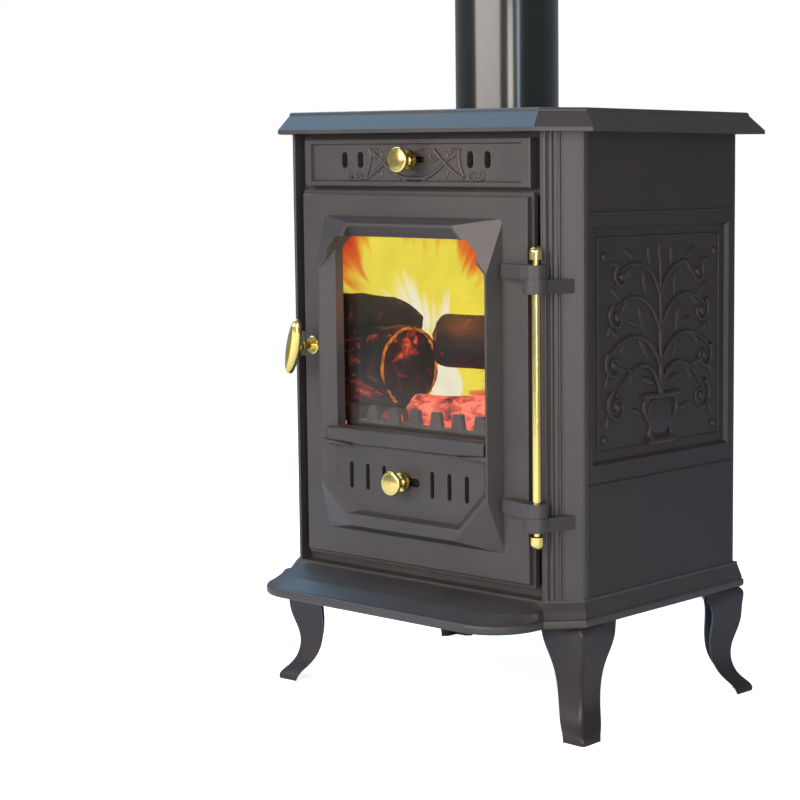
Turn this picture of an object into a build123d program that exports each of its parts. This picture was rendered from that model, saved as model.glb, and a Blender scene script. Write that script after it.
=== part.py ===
from build123d import *
import os
from math import asin, cos, radians, sin, sqrt

os.makedirs("parts", exist_ok=True)

# Cast-iron wood cookstove: a firebox with one glazed door, on four cabriole legs.
# Millimetres. The floor is z = 0, the front faces -Y, and +X is on the right of a person facing the door.
# The model is drawn about the middle of the body, and moved at the end so that y = 0 is mid-way
# between the base plate's front lip and the top plate's rear edge.

# Overall sizes
leg_height = 131
base_height = 30
body_width = 464
body_depth = 332
body_height = 524
corner_cut = 34
top_height = 26
top_overhang = 20
flue_diameter = 125
flue_length = 175
lip_front = 82
fit_gap = 0.3

# The body's planes, from which every height and place below is measured
body_bottom = leg_height + base_height
body_top = body_bottom + body_height
plate_top = body_top + top_height
half_width = body_width / 2
half_depth = body_depth / 2
front_y = -half_depth
rear_y = half_depth
corner_x = half_width - corner_cut
origin_shift = (lip_front - top_overhang) / 2

# Top plate
top_rim = 4.5
top_bevel_inset = 14
top_bevel_rise = 17.5
top_edge_round = 3
top_recess_depth = 14
top_recess_margin = 34

# Flue collar and pipe
flue_wall = 2
collar_wall = 6
collar_flange = 14
collar_flange_height = 3
collar_socket_depth = 22
collar_ledge = 4
collar_seat_depth = 1
collar_screw_radius = 3
collar_screw_head = 5.1
collar_screw_length = 13
collar_screw_count = 3

# Front frame
return_depth = 15.5
frame_thickness = 8
return_wall = 6
vent_opening_half = 140
vent_opening_height = 18
door_opening_round = 10
flutes = ((4.6, 3), (11.4, 3), (20.6, 2))
strip_start = 25
strip_width = 21
strip_height = 1.5
frame_front = front_y + return_depth
frame_back = frame_front + frame_thickness

# Side panels and the plates that they carry
side_thickness = 8
side_front_gap = 6
rear_round = 20
recess_front_inset = 49
recess_rear_inset = 26
recess_rise = 150
recess_drop = 105
recess_depth = 5
recess_taper = 35
moulding_drop = 90
moulding_radius = 1.6
groove_rise = 129
groove_radius = 1.2
ledge_reach = 12
ledge_height = 10
floor_rise = 139
floor_thickness = 12
shelf_rise = 39
shelf_thickness = 6
plate_round_spare = 2
recess_front = half_depth - recess_front_inset
recess_rear = half_depth - recess_rear_inset
recess_bottom = body_bottom + recess_rise
recess_top = body_top - recess_drop
moulding_z = body_top - moulding_drop
groove_z = body_bottom + groove_rise
floor_top = body_bottom + floor_rise
shelf_top = body_bottom + shelf_rise

# Upper vent panel and its slider
vent_panel_side_gap = 16
vent_panel_top_gap = 6
vent_panel_height = 56.5
vent_panel_border = 12
vent_panel_recess = 4
vent_slot_places = (88.8, 115.6)
vent_slot_rise = 3.25
vent_slot_width = 9.4
vent_slot_height = 19.5
vent_travel = 13
slider_thickness = 2
slider_height = 28
slider_margin = 6
slider_gap = 0.3
vent_panel_half = corner_x - vent_panel_side_gap
vent_panel_bottom = body_top - vent_panel_top_gap - vent_panel_height
vent_panel_middle = vent_panel_bottom + vent_panel_height / 2
vent_slot_z = vent_panel_middle + vent_slot_rise

# Door plate, with the flange and the rope seal behind it
door_side_gap = 16.5
door_bottom_gap = 16
door_top_gap = 9.5
door_face = 4
door_thickness = 7
door_edge = 1
door_flange_lap = 4.5
door_flange_depth = 6
pocket_side = 34.5
pocket_rise = 28
pocket_drop = 21
rope_radius = 4.5
rope_side = 25.5
rope_rise = 12
rope_drop = 11
rope_groove = 3
rope_corner = 13.5
rope_round = 2.7
opening_side_lap = 6
opening_bottom_lap = 11
opening_top_lap = 10
door_half = corner_x - door_side_gap
door_bottom = body_bottom + door_bottom_gap
door_top = vent_panel_bottom - door_top_gap
door_height = door_top - door_bottom
door_front = front_y - door_face
door_back = door_front + door_thickness
pocket_half = door_half - pocket_side
pocket_bottom = door_bottom + pocket_rise
pocket_top = door_top - pocket_drop
rope_half = door_half - rope_side
rope_bottom = door_bottom + rope_rise
rope_top = door_top - rope_drop
door_opening_half = rope_half - opening_side_lap
door_opening_bottom = rope_bottom + opening_bottom_lap
door_opening_top = rope_top - opening_top_lap

# The door's raised surround, its glass opening, its sill and its lower vent
surround_side = 37
surround_rise = 32
surround_drop = 25
foot_cut = 4
surround_height = 19
side_slope = 7.5
top_slope = 8
bottom_slope = 10
ridge_top_cut = 53
ridge_bottom_cut = 50
ridge_width = 3
bevel_depth = 15
glass_side = 22.5
glass_rise = 126
glass_drop = 24
glass_corner = 16
bead_width = 14
lower_plate_face = 12
sill_side = 6
sill_height = 19
sill_reach = 20
sill_round = 5
sill_root = 6
sill_corner = 1
lower_slot_places = (39.5, 67, 94.5)
lower_slot_width = 6.3
lower_slot_height = 32
lower_slot_rise = 101
lower_web = 6
knob_slot_spare = 1
knob_slot_height = 10
lower_knob_rest = -7
lower_travel = 22
lower_slider_height = 44
guide_height = 5
surround_half = door_half - surround_side
surround_bottom = door_bottom + surround_rise
surround_top = door_top - surround_drop
glass_half = surround_half - glass_side
glass_bottom = surround_bottom + glass_rise
glass_top = surround_top - glass_drop
sill_half = glass_half + sill_side
lower_slot_z = door_bottom + lower_slot_rise

# Glass, gasket and clips
glass_margin = 14
gasket_thickness = 1.5
glass_thickness = 4
clip_thickness = 2.5
clip_width = 22
clip_lap = 7
clip_gap = 1
clip_inset = 42
boss_height = 12
clip_screw_radius = 3
clip_head_radius = 5
clip_head_height = 2
clip_x = glass_half - clip_inset

# Brass knobs
knob_flange_radius = 12
knob_flange_thickness = 3
knob_flange_draft = 1
knob_foot_radius = 6.75
knob_neck_radius = 4.5
knob_neck_place = 8.25
knob_head_radius = 7.2
knob_disc_radius = 15
knob_disc_thickness = 7
knob_crown = 1
knob_stand = 15
knob_stem_radius = 3
upper_flange_reach = 5
lower_flange_reach = 15

# Door handle and latch
handle_inset = 13.5
handle_rise = 253
spindle_radius = 5
spindle_fit = 0.1
escutcheon_radius = 11
escutcheon_thickness = 2.5
handle_neck = 30
handle_ball_radius = 7.5
handle_blade_length = 69
handle_blade_width = 21
handle_blade_thickness = 9
handle_blade_levels = (0, 0.3, 0.6, 0.85, 1)
handle_blade_draw = 0.7
handle_blade_power = 2.5
handle_tilt = 14
cam_length = 23
cam_width = 12
cam_thickness = 4.5
catch_reach = 9
catch_height = 30
catch_thickness = 5
catch_gap = 1
handle_x = handle_inset - door_half
handle_z = door_bottom + handle_rise

# Hinge
hinge_side = 5
hinge_reach = 14
rod_radius = 5
rod_fit = 0.1
door_lug_radius = 13
frame_lug_radius = 14
frame_lug_root = 37.6
lug_height = 16
lug_gap = 0.1
lug_sink = 1
lug_tangent_cos = 0.8
lug_tangent_sin = 0.6
lug_flank = 2
lug_trim = 0.5
lug_shoulder_drop = 1.3
upper_lug_drop = 106
lower_lug_rise = 65
lug_root_inset = 31.5
lug_root_reach = 9
finial_radius = 7.5
finial_height = 16
finial_shoulder = 9.6
finial_draft = 1
finial_stub = 5
finial_stub_radius = 3.5
hinge_x = corner_x + hinge_side
hinge_y = front_y - hinge_reach
upper_lug_z = door_top - upper_lug_drop
lower_lug_z = door_bottom + lower_lug_rise
lug_root_x = door_half - lug_root_inset

# Inside the firebox
fence_thickness = 6.5
tooth_pitch = 35
tooth_count = 8
tooth_rise = 59
tooth_gap_rise = 41.5
tooth_tip = 12
tooth_root = 19
grate_half_width = 130
grate_half_depth = 85
grate_rebate = 6
grate_thickness = 8
grate_slot_width = 9
grate_slot_pitch = 20
grate_slot_count = 12
grate_gap = 0.5
pan_half_width = 130
pan_front_gap = 4.5
pan_rear = 110
pan_height = 62
pan_wall = 2
pan_corner = 8
brick = 25
brick_front_gap = 22.5
baffle_drop = 145
baffle_thickness = 12
baffle_front = 60
tie_rod_radius = 4
front_rod_inset = 32
rear_rod_inset = 22
tie_rod_seat = 12
tooth_top = floor_top + tooth_rise
tooth_gap = floor_top + tooth_gap_rise
pan_front = -frame_back - pan_front_gap
brick_front = -frame_back - brick_front_gap
brick_height = body_top - baffle_drop - floor_top

# Rear outlet and its blanking plate
outlet_radius = 62.5
outlet_drop = 85
blank_lap = 14
blank_thickness = 7
blank_round = 2.3
blank_bolt_radius = 3.5
blank_head_radius = 6
blank_head_height = 4
blank_bolt_count = 3
outlet_z = body_top - outlet_drop

# Base plate
lip_corner_inset = 50
lip_corner_width = 62
lip_corner_stand = 20
lip_corner_least = 0.5
lip_corner_share = 0.5
lip_least_bulge = 0.1
bead_height = 11
bead_round = 3.5
bead_step = 6
cove_rise = 8
cove_inset = 33
cove_foot_step = 2
cove_block_step = 8
cove_side_step = 6
slope_rise = 8
slope_front = 2
slope_side = 1
base_side = 11
base_rear_inset = 6
block_reach = 18
base_web = 12
base_hollow_side = 82
base_hollow_end = 26
lip_straight_half = corner_x - lip_corner_inset

# Legs: for each level its share of the height, the ridge's shift outwards, half the spread and the V's depth
leg_side = 9
leg_front_inset = 18
leg_rear_inset = 10
leg_levels = (
    (1, 0, 44, 50),
    (0.86, 5, 41, 47),
    (0.72, 3.6, 34.5, 43),
    (0.565, -2, 28, 39),
    (0.42, -8.5, 25, 32),
    (0.305, -8.4, 24, 28),
    (0.16, 1, 23.5, 24),
    (0.07, 15, 22, 26),
    (0, 17, 21.5, 23),
)
leg_wall = 8
leg_edge_wall = 9.6
leg_ridge_wall = 12
leg_ridge_round = 4
leg_pad = 10
leg_bolt_radius = 4
leg_bolt_head = 6.5
leg_bolt_head_height = 5
leg_bolt_seat = 15
leg_bolt_inset = 26
leg_top_x = half_width + leg_side
leg_front_top = half_depth - leg_front_inset
leg_rear_top = half_depth - leg_rear_inset


def keep(piece, name):
    """Label a finished piece, move it to the shared origin and write its file."""
    placed = piece.moved(Location((0, origin_shift, 0)))
    placed.label = name
    export_step(placed, f"parts/{name}.step")


def front_plane(y):
    """A plane across the front at y: sketch x is the stove's X, sketch y is Z, and it faces the front."""
    return Plane(origin=(0, y, 0), x_dir=(1, 0, 0), z_dir=(0, -1, 0))


def octagon_points(half, bottom, top, side_cut, top_cut, bottom_cut):
    """The eight corners of an upright rectangle with cut corners, counter-clockwise from the lower left."""
    return [
        (-half + side_cut, bottom), (half - side_cut, bottom),
        (half, bottom + bottom_cut), (half, top - top_cut),
        (half - side_cut, top), (-half + side_cut, top),
        (-half, top - top_cut), (-half, bottom + bottom_cut),
    ]


face_step = sqrt(0.5)
rod_places = [
    (half_width - front_rod_inset, front_y + corner_cut),
    (front_rod_inset - half_width, front_y + corner_cut),
    (half_width - rear_rod_inset, rear_y - rear_round),
    (rear_rod_inset - half_width, rear_y - rear_round),
]
leg_places = [
    ("front_left_leg", -leg_top_x, -leg_front_top, 225),
    ("front_right_leg", leg_top_x, -leg_front_top, 315),
    ("rear_left_leg", -leg_top_x, leg_rear_top, 135),
    ("rear_right_leg", leg_top_x, leg_rear_top, 45),
]
bolt_places = [
    (x - leg_bolt_inset * cos(radians(turn)), y - leg_bolt_inset * sin(radians(turn)))
    for name, x, y, turn in leg_places
]


# Base plate: a bead round the edge, a cove that follows the curved lip, and a slope up to the body
def base_outline(z, front, block, side):
    """One level of the base plate: a straight lip, an arc at each end, cut corners and plain sides.

    front, block and side are how far each edge stands outside the body. The arcs end before the leg's block.
    """
    arc_drop = max(front - lip_corner_stand, lip_corner_least)
    arc_share = arc_drop / lip_corner_width
    arc_width = lip_corner_width * min(1, arc_share + lip_corner_share)
    lip_y = front_y - front
    arc_x = lip_straight_half + arc_width
    arc_y = lip_y + arc_drop
    shift = block * face_step
    cut_start = (corner_x + shift, front_y - shift)
    cut_end = (half_width + shift, front_y + corner_cut - shift)
    side_x = half_width + side
    side_rear_y = rear_y - base_rear_inset
    side_start_y = cut_end[1] + shift
    bulge = arc_share * sqrt(arc_width ** 2 + arc_drop ** 2) * (sqrt(2) - 1) / 2 + lip_least_bulge
    with BuildSketch(Plane.XY.offset(z)) as level:
        with BuildLine():
            Line((-lip_straight_half, lip_y), (lip_straight_half, lip_y))
            SagittaArc((lip_straight_half, lip_y), (arc_x, arc_y), -bulge)
            Line((arc_x, arc_y), cut_start)
            Line(cut_start, cut_end)
            Line(cut_end, (side_x, side_start_y))
            Line((side_x, side_start_y), (side_x, side_rear_y))
            Line((side_x, side_rear_y), (-side_x, side_rear_y))
            Line((-side_x, side_rear_y), (-side_x, side_start_y))
            Line((-side_x, side_start_y), (-cut_end[0], cut_end[1]))
            Line((-cut_end[0], cut_end[1]), (-cut_start[0], cut_start[1]))
            Line((-cut_start[0], cut_start[1]), (-arc_x, arc_y))
            SagittaArc((-arc_x, arc_y), (-lip_straight_half, lip_y), -bulge)
        make_face()
    return level.sketch


bead_top = leg_height + bead_height
cove_top = bead_top + cove_rise
slope_top = cove_top + slope_rise
bead_level = base_outline(leg_height, lip_front, block_reach, base_side)
cove_foot = base_outline(
    bead_top, lip_front - bead_step, block_reach - cove_foot_step, base_side - cove_foot_step,
)
cove_head = base_outline(
    cove_top, lip_front - cove_inset, block_reach - cove_block_step, base_side - cove_side_step,
)
slope_head = base_outline(slope_top, slope_front, slope_front, slope_side)
with BuildPart() as base_plate:
    extrude(bead_level, amount=bead_height)
    bead_edges = base_plate.edges().filter_by(Axis.Z, reverse=True).group_by(Axis.Z)
    fillet(bead_edges[0] + bead_edges[-1], bead_round)
    loft([cove_foot.face(), cove_head.face()], ruled=True)
    loft([cove_head.face(), slope_head.face()], ruled=True)
    extrude(slope_head, amount=body_bottom - slope_top)
    with BuildSketch(Plane.XY.offset(leg_height)):
        Rectangle(body_width - 2 * base_hollow_side, body_depth - 2 * base_hollow_end)
    extrude(amount=base_height - base_web, mode=Mode.SUBTRACT)
    with BuildSketch(Plane.XY.offset(leg_height)):
        with Locations(*bolt_places):
            Circle(leg_bolt_radius)
    extrude(amount=leg_bolt_seat, mode=Mode.SUBTRACT)
    with BuildSketch(Plane.XY.offset(body_bottom)):
        with Locations(*rod_places):
            Circle(tie_rod_radius)
    extrude(amount=-tie_rod_seat, mode=Mode.SUBTRACT)
keep(base_plate.part, "base_plate")


# Top plate: a rim, a bevel all round and a rounded upper edge, hollowed below, with the flue collar's seat
def plate_outline(z, overhang):
    """The body's outline with its cut front corners, grown by the overhang."""
    cut = corner_cut + (2 - sqrt(2)) * overhang
    x = half_width + overhang
    y = half_depth + overhang
    with BuildSketch(Plane.XY.offset(z)) as level:
        with BuildLine():
            Polyline(
                (-x + cut, -y), (x - cut, -y), (x, -y + cut), (x, y), (-x, y), (-x, -y + cut), close=True,
            )
        make_face()
    return level.sketch


flue_radius = flue_diameter / 2
collar_bore = flue_radius + fit_gap
collar_outer = collar_bore + collar_wall
screw_circle = collar_outer + collar_flange / 2
seat_z = plate_top - collar_seat_depth
bevel_z = body_top + top_rim + top_bevel_rise
with BuildPart() as top_plate:
    extrude(plate_outline(body_top, top_overhang), amount=top_rim)
    loft([
        plate_outline(body_top + top_rim, top_overhang).face(),
        plate_outline(bevel_z, top_overhang - top_bevel_inset).face(),
    ], ruled=True)
    extrude(plate_outline(bevel_z, top_overhang - top_bevel_inset), amount=plate_top - bevel_z)
    fillet(top_plate.faces().sort_by(Axis.Z)[-1].edges(), top_edge_round)
    with BuildSketch(Plane.XY.offset(body_top)):
        RectangleRounded(
            body_width - 2 * top_recess_margin, body_depth - 2 * top_recess_margin, rear_round,
        )
        Circle(screw_circle + collar_screw_radius * 2, mode=Mode.SUBTRACT)
    extrude(amount=top_recess_depth, mode=Mode.SUBTRACT)
    with BuildSketch(Plane.XY.offset(body_top)):
        Circle(collar_outer + fit_gap)
    extrude(amount=top_height, mode=Mode.SUBTRACT)
    with BuildSketch(Plane.XY.offset(body_top)):
        with Locations(*rod_places):
            Circle(tie_rod_radius)
    extrude(amount=tie_rod_seat, mode=Mode.SUBTRACT)
    with BuildSketch(Plane.XY.offset(plate_top)):
        Circle(collar_outer + collar_flange + fit_gap)
    extrude(amount=-collar_seat_depth, mode=Mode.SUBTRACT)
    with BuildSketch(Plane.XY.offset(plate_top)):
        with PolarLocations(screw_circle, collar_screw_count):
            Circle(collar_screw_radius)
    extrude(amount=-collar_screw_length + collar_flange_height, mode=Mode.SUBTRACT)
keep(top_plate.part, "top_plate")

# Flue collar, its countersunk screws, and the pipe that stands in it
flange_top = plate_top + collar_flange_height
collar_bottom = flange_top - collar_socket_depth - collar_ledge
with BuildPart() as flue_collar:
    with BuildSketch(Plane.XZ):
        with BuildLine():
            Polyline(
                (collar_bore - collar_ledge, collar_bottom), (collar_outer, collar_bottom),
                (collar_outer, seat_z), (collar_outer + collar_flange, seat_z),
                (collar_outer + collar_flange, flange_top), (collar_bore, flange_top),
                (collar_bore, collar_bottom + collar_ledge),
                (collar_bore - collar_ledge, collar_bottom + collar_ledge), close=True,
            )
        make_face()
    revolve(axis=Axis.Z)
    with Locations(Plane.XY.offset(flange_top)):
        with PolarLocations(screw_circle, collar_screw_count):
            CounterSinkHole(collar_screw_radius, collar_screw_head, depth=collar_screw_length)
keep(flue_collar.part, "flue_collar")

with BuildPart() as collar_screws:
    with BuildSketch(Plane.XY.offset(flange_top)):
        with PolarLocations(screw_circle, collar_screw_count):
            Circle(collar_screw_radius)
    extrude(amount=-collar_screw_length)
    head_drop = collar_screw_head - collar_screw_radius
    for turn in range(collar_screw_count):
        spin = Location((0, 0, 0), (0, 0, 360 * turn / collar_screw_count))
        with Locations(spin * Location((screw_circle, 0, flange_top - head_drop / 2))):
            Cone(collar_screw_radius, collar_screw_head, head_drop)
keep(collar_screws.part, "collar_screws")

with BuildPart() as flue_pipe:
    with BuildSketch(Plane.XY.offset(collar_bottom + collar_ledge)):
        Circle(flue_radius)
        Circle(flue_radius - flue_wall, mode=Mode.SUBTRACT)
    extrude(amount=flue_length)
keep(flue_pipe.part, "flue_pipe")

# Front frame: the plate behind the door and the vent panel, pierced for the fire and for the vent's air
with BuildPart() as front_frame:
    with BuildSketch(front_plane(frame_back)):
        with Locations((0, body_bottom + body_height / 2)):
            Rectangle(2 * corner_x, body_height)
        with Locations((0, (door_opening_bottom + door_opening_top) / 2)):
            RectangleRounded(
                2 * door_opening_half, door_opening_top - door_opening_bottom, door_opening_round,
                mode=Mode.SUBTRACT,
            )
        with Locations((0, vent_slot_z)):
            Rectangle(2 * vent_opening_half, vent_opening_height, mode=Mode.SUBTRACT)
    extrude(amount=frame_thickness)
keep(front_frame.part, "front_frame")

# Pilasters: the fluted cut corners with their returns, with hinge lugs on the right and the catch on the left
with BuildPart() as corner:
    with BuildSketch(Plane.XY.offset(body_bottom)):
        with BuildLine():
            shell = return_wall * (sqrt(2) - 1)
            Polyline(
                (corner_x, frame_back), (corner_x, front_y),
                (half_width, front_y + corner_cut), (half_width, front_y + corner_cut + side_front_gap),
                (half_width - side_thickness, front_y + corner_cut + side_front_gap),
                (half_width - side_thickness, front_y + corner_cut + shell),
                (corner_x + return_wall, front_y + return_wall + shell),
                (corner_x + return_wall, frame_back), close=True,
            )
        make_face()
        for distance, radius in flutes:
            with Locations((corner_x + distance * face_step, front_y + distance * face_step)):
                Circle(radius)
        strip_middle = strip_start + strip_width / 2
        with Locations((corner_x + strip_middle * face_step, front_y + strip_middle * face_step)):
            Rectangle(strip_width, strip_height * 2, rotation=45)
    extrude(amount=body_height)

with BuildPart() as right_pilaster:
    add(corner.part)
    reach = frame_lug_root * face_step
    touch = frame_lug_radius * lug_tangent_cos
    lean = frame_lug_radius * lug_tangent_sin
    for lug_z in (lower_lug_z, upper_lug_z):
        with BuildSketch(Plane.XY.offset(lug_z)):
            with Locations((hinge_x, hinge_y)):
                Circle(frame_lug_radius)
            with BuildLine():
                Polyline(
                    (corner_x + lug_sink, front_y + lug_sink), (hinge_x - touch, hinge_y + lean),
                    (hinge_x + lean, hinge_y - touch),
                    (corner_x + reach + lug_sink, front_y + reach - lug_sink), close=True,
                )
            make_face()
        extrude(amount=lug_height)
        with BuildSketch(Plane.XY.offset(lug_z)):
            with Locations((hinge_x, hinge_y)):
                Circle(rod_radius)
        extrude(amount=lug_height, mode=Mode.SUBTRACT)
keep(right_pilaster.part, "right_pilaster")

left_corner = mirror(corner.part, about=Plane.YZ)
catch_back = door_back + door_flange_depth - catch_gap
with BuildPart() as left_pilaster:
    add(left_corner)
    with Locations((catch_reach / 2 - corner_x, catch_back - catch_thickness / 2, handle_z)):
        Box(catch_reach, catch_thickness, catch_height)
keep(left_pilaster.part, "left_pilaster")

# Side panels: round at the rear, with a recess and mouldings outside, and ledges inside for the plates
panel_front = front_y + corner_cut + side_front_gap
with BuildPart() as right_side_panel:
    with BuildSketch(Plane.XY.offset(body_bottom)):
        with BuildLine():
            arc_x = half_width - rear_round
            arc_y = half_depth - rear_round
            inner_round = rear_round - side_thickness
            Line((half_width, panel_front), (half_width, arc_y))
            ThreePointArc(
                (half_width, arc_y), (arc_x + rear_round * face_step, arc_y + rear_round * face_step),
                (arc_x, half_depth),
            )
            Line((arc_x, half_depth), (arc_x, half_depth - side_thickness))
            ThreePointArc(
                (arc_x, half_depth - side_thickness),
                (arc_x + inner_round * face_step, arc_y + inner_round * face_step),
                (half_width - side_thickness, arc_y),
            )
            Line((half_width - side_thickness, arc_y), (half_width - side_thickness, panel_front))
            Line((half_width - side_thickness, panel_front), (half_width, panel_front))
        make_face()
    extrude(amount=body_height)
    side_plane = Plane(origin=(half_width, 0, 0), x_dir=(0, 1, 0), z_dir=(1, 0, 0))
    with BuildSketch(side_plane):
        with Locations(((recess_rear - recess_front) / 2, (recess_bottom + recess_top) / 2)):
            Rectangle(recess_rear + recess_front, recess_top - recess_bottom)
    extrude(amount=-recess_depth, taper=recess_taper, mode=Mode.SUBTRACT)
    panel_length = arc_y - panel_front
    panel_middle = (arc_y + panel_front) / 2
    with Locations(Location((half_width, panel_middle, moulding_z), (90, 0, 0))):
        Cylinder(moulding_radius, panel_length)
    with Locations(Location((half_width, panel_middle, groove_z), (90, 0, 0))):
        Cylinder(groove_radius, panel_length, mode=Mode.SUBTRACT)
    for ledge_top in (floor_top - floor_thickness, shelf_top - shelf_thickness):
        ledge_x = half_width - side_thickness - ledge_reach / 2
        with Locations((ledge_x, panel_middle, ledge_top - ledge_height / 2)):
            Box(ledge_reach, panel_length - 2 * ledge_reach, ledge_height)
keep(right_side_panel.part, "right_side_panel")
keep(mirror(right_side_panel.part, about=Plane.YZ), "left_side_panel")

# Back panel with the rear outlet, and the plate that blanks it off
back_half = half_width - rear_round
blank_radius = outlet_radius + blank_lap
blank_circle = outlet_radius + blank_lap / 2
with BuildPart() as back_panel:
    with BuildSketch(Plane.XY.offset(body_bottom)):
        with Locations((0, rear_y - side_thickness / 2)):
            Rectangle(2 * back_half, side_thickness)
    extrude(amount=body_height)
    with BuildSketch(front_plane(rear_y)):
        with Locations((0, outlet_z)):
            Circle(outlet_radius)
            with PolarLocations(blank_circle, blank_bolt_count, start_angle=90):
                Circle(blank_bolt_radius)
    extrude(amount=side_thickness, mode=Mode.SUBTRACT)
keep(back_panel.part, "back_panel")

with BuildPart() as rear_blanking_plate:
    with BuildSketch(front_plane(rear_y)):
        with Locations((0, outlet_z)):
            Circle(blank_radius)
    extrude(amount=-blank_thickness)
    fillet(rear_blanking_plate.faces().sort_by(Axis.Y)[-1].edges(), blank_round)
    with BuildSketch(front_plane(rear_y)):
        with Locations((0, outlet_z)):
            with PolarLocations(blank_circle, blank_bolt_count, start_angle=90):
                Circle(blank_bolt_radius)
    extrude(amount=-blank_thickness, mode=Mode.SUBTRACT)
keep(rear_blanking_plate.part, "rear_blanking_plate")

with BuildPart() as blanking_plate_bolts:
    with BuildSketch(front_plane(rear_y + blank_thickness)):
        with Locations((0, outlet_z)):
            with PolarLocations(blank_circle, blank_bolt_count, start_angle=90):
                Circle(blank_bolt_radius)
    extrude(amount=blank_thickness + side_thickness)
    with BuildSketch(front_plane(rear_y + blank_thickness)):
        with Locations((0, outlet_z)):
            with PolarLocations(blank_circle, blank_bolt_count, start_angle=90):
                RegularPolygon(blank_head_radius, 6)
    extrude(amount=-blank_head_height)
keep(blanking_plate_bolts.part, "blanking_plate_bolts")


def slots(places, z, width, height):
    """A row of upright round-ended slots at +x and -x of each place."""
    for place in places:
        with Locations((place, z), (-place, z)):
            SlotOverall(height, width, rotation=90)


# Upper vent panel: a raised border, a recessed field with slots, and a cavity behind for the slider
slider_back = frame_front - slider_gap
slider_front = slider_back - slider_thickness
cavity_front = slider_front - slider_gap
upper_slot_half = knob_stem_radius + slider_gap
slider_half = vent_slot_places[-1] + vent_slot_width / 2 + slider_margin
with BuildPart() as upper_vent_panel:
    with BuildSketch(front_plane(frame_front)):
        with Locations((0, vent_panel_middle)):
            Rectangle(2 * vent_panel_half, vent_panel_height)
    extrude(amount=return_depth)
    chamfer(upper_vent_panel.faces().sort_by(Axis.Y)[0].edges(), strip_height)
    with BuildSketch(front_plane(front_y)):
        with Locations((0, vent_panel_middle)):
            Rectangle(
                2 * (vent_panel_half - vent_panel_border), vent_panel_height - vent_panel_border,
            )
    extrude(amount=-vent_panel_recess, taper=recess_taper / 2, mode=Mode.SUBTRACT)
    with BuildSketch(front_plane(frame_front)):
        with Locations((vent_travel / 2, vent_slot_z)):
            Rectangle(2 * slider_half + vent_travel + 2 * slider_gap, slider_height + 2 * slider_gap)
    extrude(amount=frame_front - cavity_front, mode=Mode.SUBTRACT)
    with BuildSketch(front_plane(cavity_front)):
        slots(vent_slot_places, vent_slot_z, vent_slot_width, vent_slot_height)
        with Locations((vent_travel / 2, vent_slot_z)):
            SlotOverall(vent_travel + 2 * upper_slot_half, 2 * upper_slot_half)
    extrude(amount=return_depth, mode=Mode.SUBTRACT)
keep(upper_vent_panel.part, "upper_vent_panel")

with BuildPart() as upper_vent_slider:
    with BuildSketch(front_plane(slider_back)):
        with Locations((0, vent_slot_z)):
            Rectangle(2 * slider_half, slider_height)
    extrude(amount=slider_thickness)
    with BuildSketch(front_plane(slider_back)):
        slots(vent_slot_places, vent_slot_z, vent_slot_width, vent_slot_height)
    extrude(amount=slider_thickness, mode=Mode.SUBTRACT)
keep(upper_vent_slider.part, "upper_vent_slider")


def cap_middle(radius, base, tip):
    """The point half-way along a round cap that rises from a circle of the radius at base to its tip."""
    rise = abs(tip - base)
    ball = (radius ** 2 + rise ** 2) / (2 * rise)
    half_angle = asin(radius / ball) / 2
    drop = ball * (1 - cos(half_angle))
    return (ball * sin(half_angle), tip - drop if tip > base else tip + drop)


def knob(x, z, flange_y, foot_y):
    """A turned brass knob: a stem from the slider, a flange, a neck and a rounded disc."""
    disc_back = flange_y - knob_stand
    disc_front = disc_back - knob_disc_thickness
    flange_front = flange_y - knob_flange_thickness
    edge = knob_disc_thickness / 2
    cap_radius = knob_disc_radius - edge
    cap_base = disc_front + knob_crown
    with BuildPart() as turned:
        with BuildSketch(Plane.XY):
            with BuildLine():
                Polyline(
                    (0, foot_y), (knob_stem_radius, foot_y), (knob_stem_radius, flange_y),
                    (knob_flange_radius, flange_y), (knob_flange_radius - knob_flange_draft, flange_front),
                    (knob_foot_radius, flange_front),
                )
                ThreePointArc(
                    (knob_foot_radius, flange_front), (knob_neck_radius, flange_y - knob_neck_place),
                    (knob_head_radius, disc_back),
                )
                Line((knob_head_radius, disc_back), (cap_radius, disc_back))
                ThreePointArc(
                    (cap_radius, disc_back), (knob_disc_radius, disc_back - edge), (cap_radius, cap_base),
                )
                ThreePointArc(
                    (cap_radius, cap_base), cap_middle(cap_radius, cap_base, disc_front), (0, disc_front),
                )
                Line((0, disc_front), (0, foot_y))
            make_face()
        revolve(axis=Axis.Y)
    return turned.part.moved(Location((x, 0, z)))


keep(knob(0, vent_slot_z, front_y - upper_flange_reach, slider_front), "upper_vent_knob")

# Door: a flanged plate, the raised eight-sided surround, the glass opening, the sill and the lower vent plate
ridge_y = door_front - surround_height
plate_y = front_y - lower_plate_face
ridge_half = surround_half - side_slope
ridge_top = surround_top - top_slope
ridge_bottom = surround_bottom + bottom_slope
ridge_inner_half = ridge_half - ridge_width
inner_shift = ridge_width * (2 - sqrt(2))
sill_bottom = glass_bottom - sill_height
slider_x = lower_slot_places[-1] + lower_slot_width / 2 + slider_margin
lower_pocket_half = slider_x + lower_travel + slider_gap
lower_pocket_height = lower_slider_height + 2 * slider_gap
web_back = plate_y + lower_web
knob_slot_half = lower_knob_rest + lower_travel + upper_slot_half + knob_slot_spare


def upright(plane, points):
    """A closed straight-sided face on a front plane."""
    with BuildSketch(plane) as shape:
        with BuildLine():
            Polyline(*points, close=True)
        make_face()
    return shape.sketch.face()


def rope_ring():
    """The rope's ring in a front sketch that is already at its middle."""
    height = rope_top - rope_bottom
    RectangleRounded(2 * (rope_half + rope_radius), height + 2 * rope_radius, rope_corner)
    RectangleRounded(
        2 * (rope_half - rope_radius), height - 2 * rope_radius, rope_corner - 2 * rope_radius,
        mode=Mode.SUBTRACT,
    )


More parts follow.
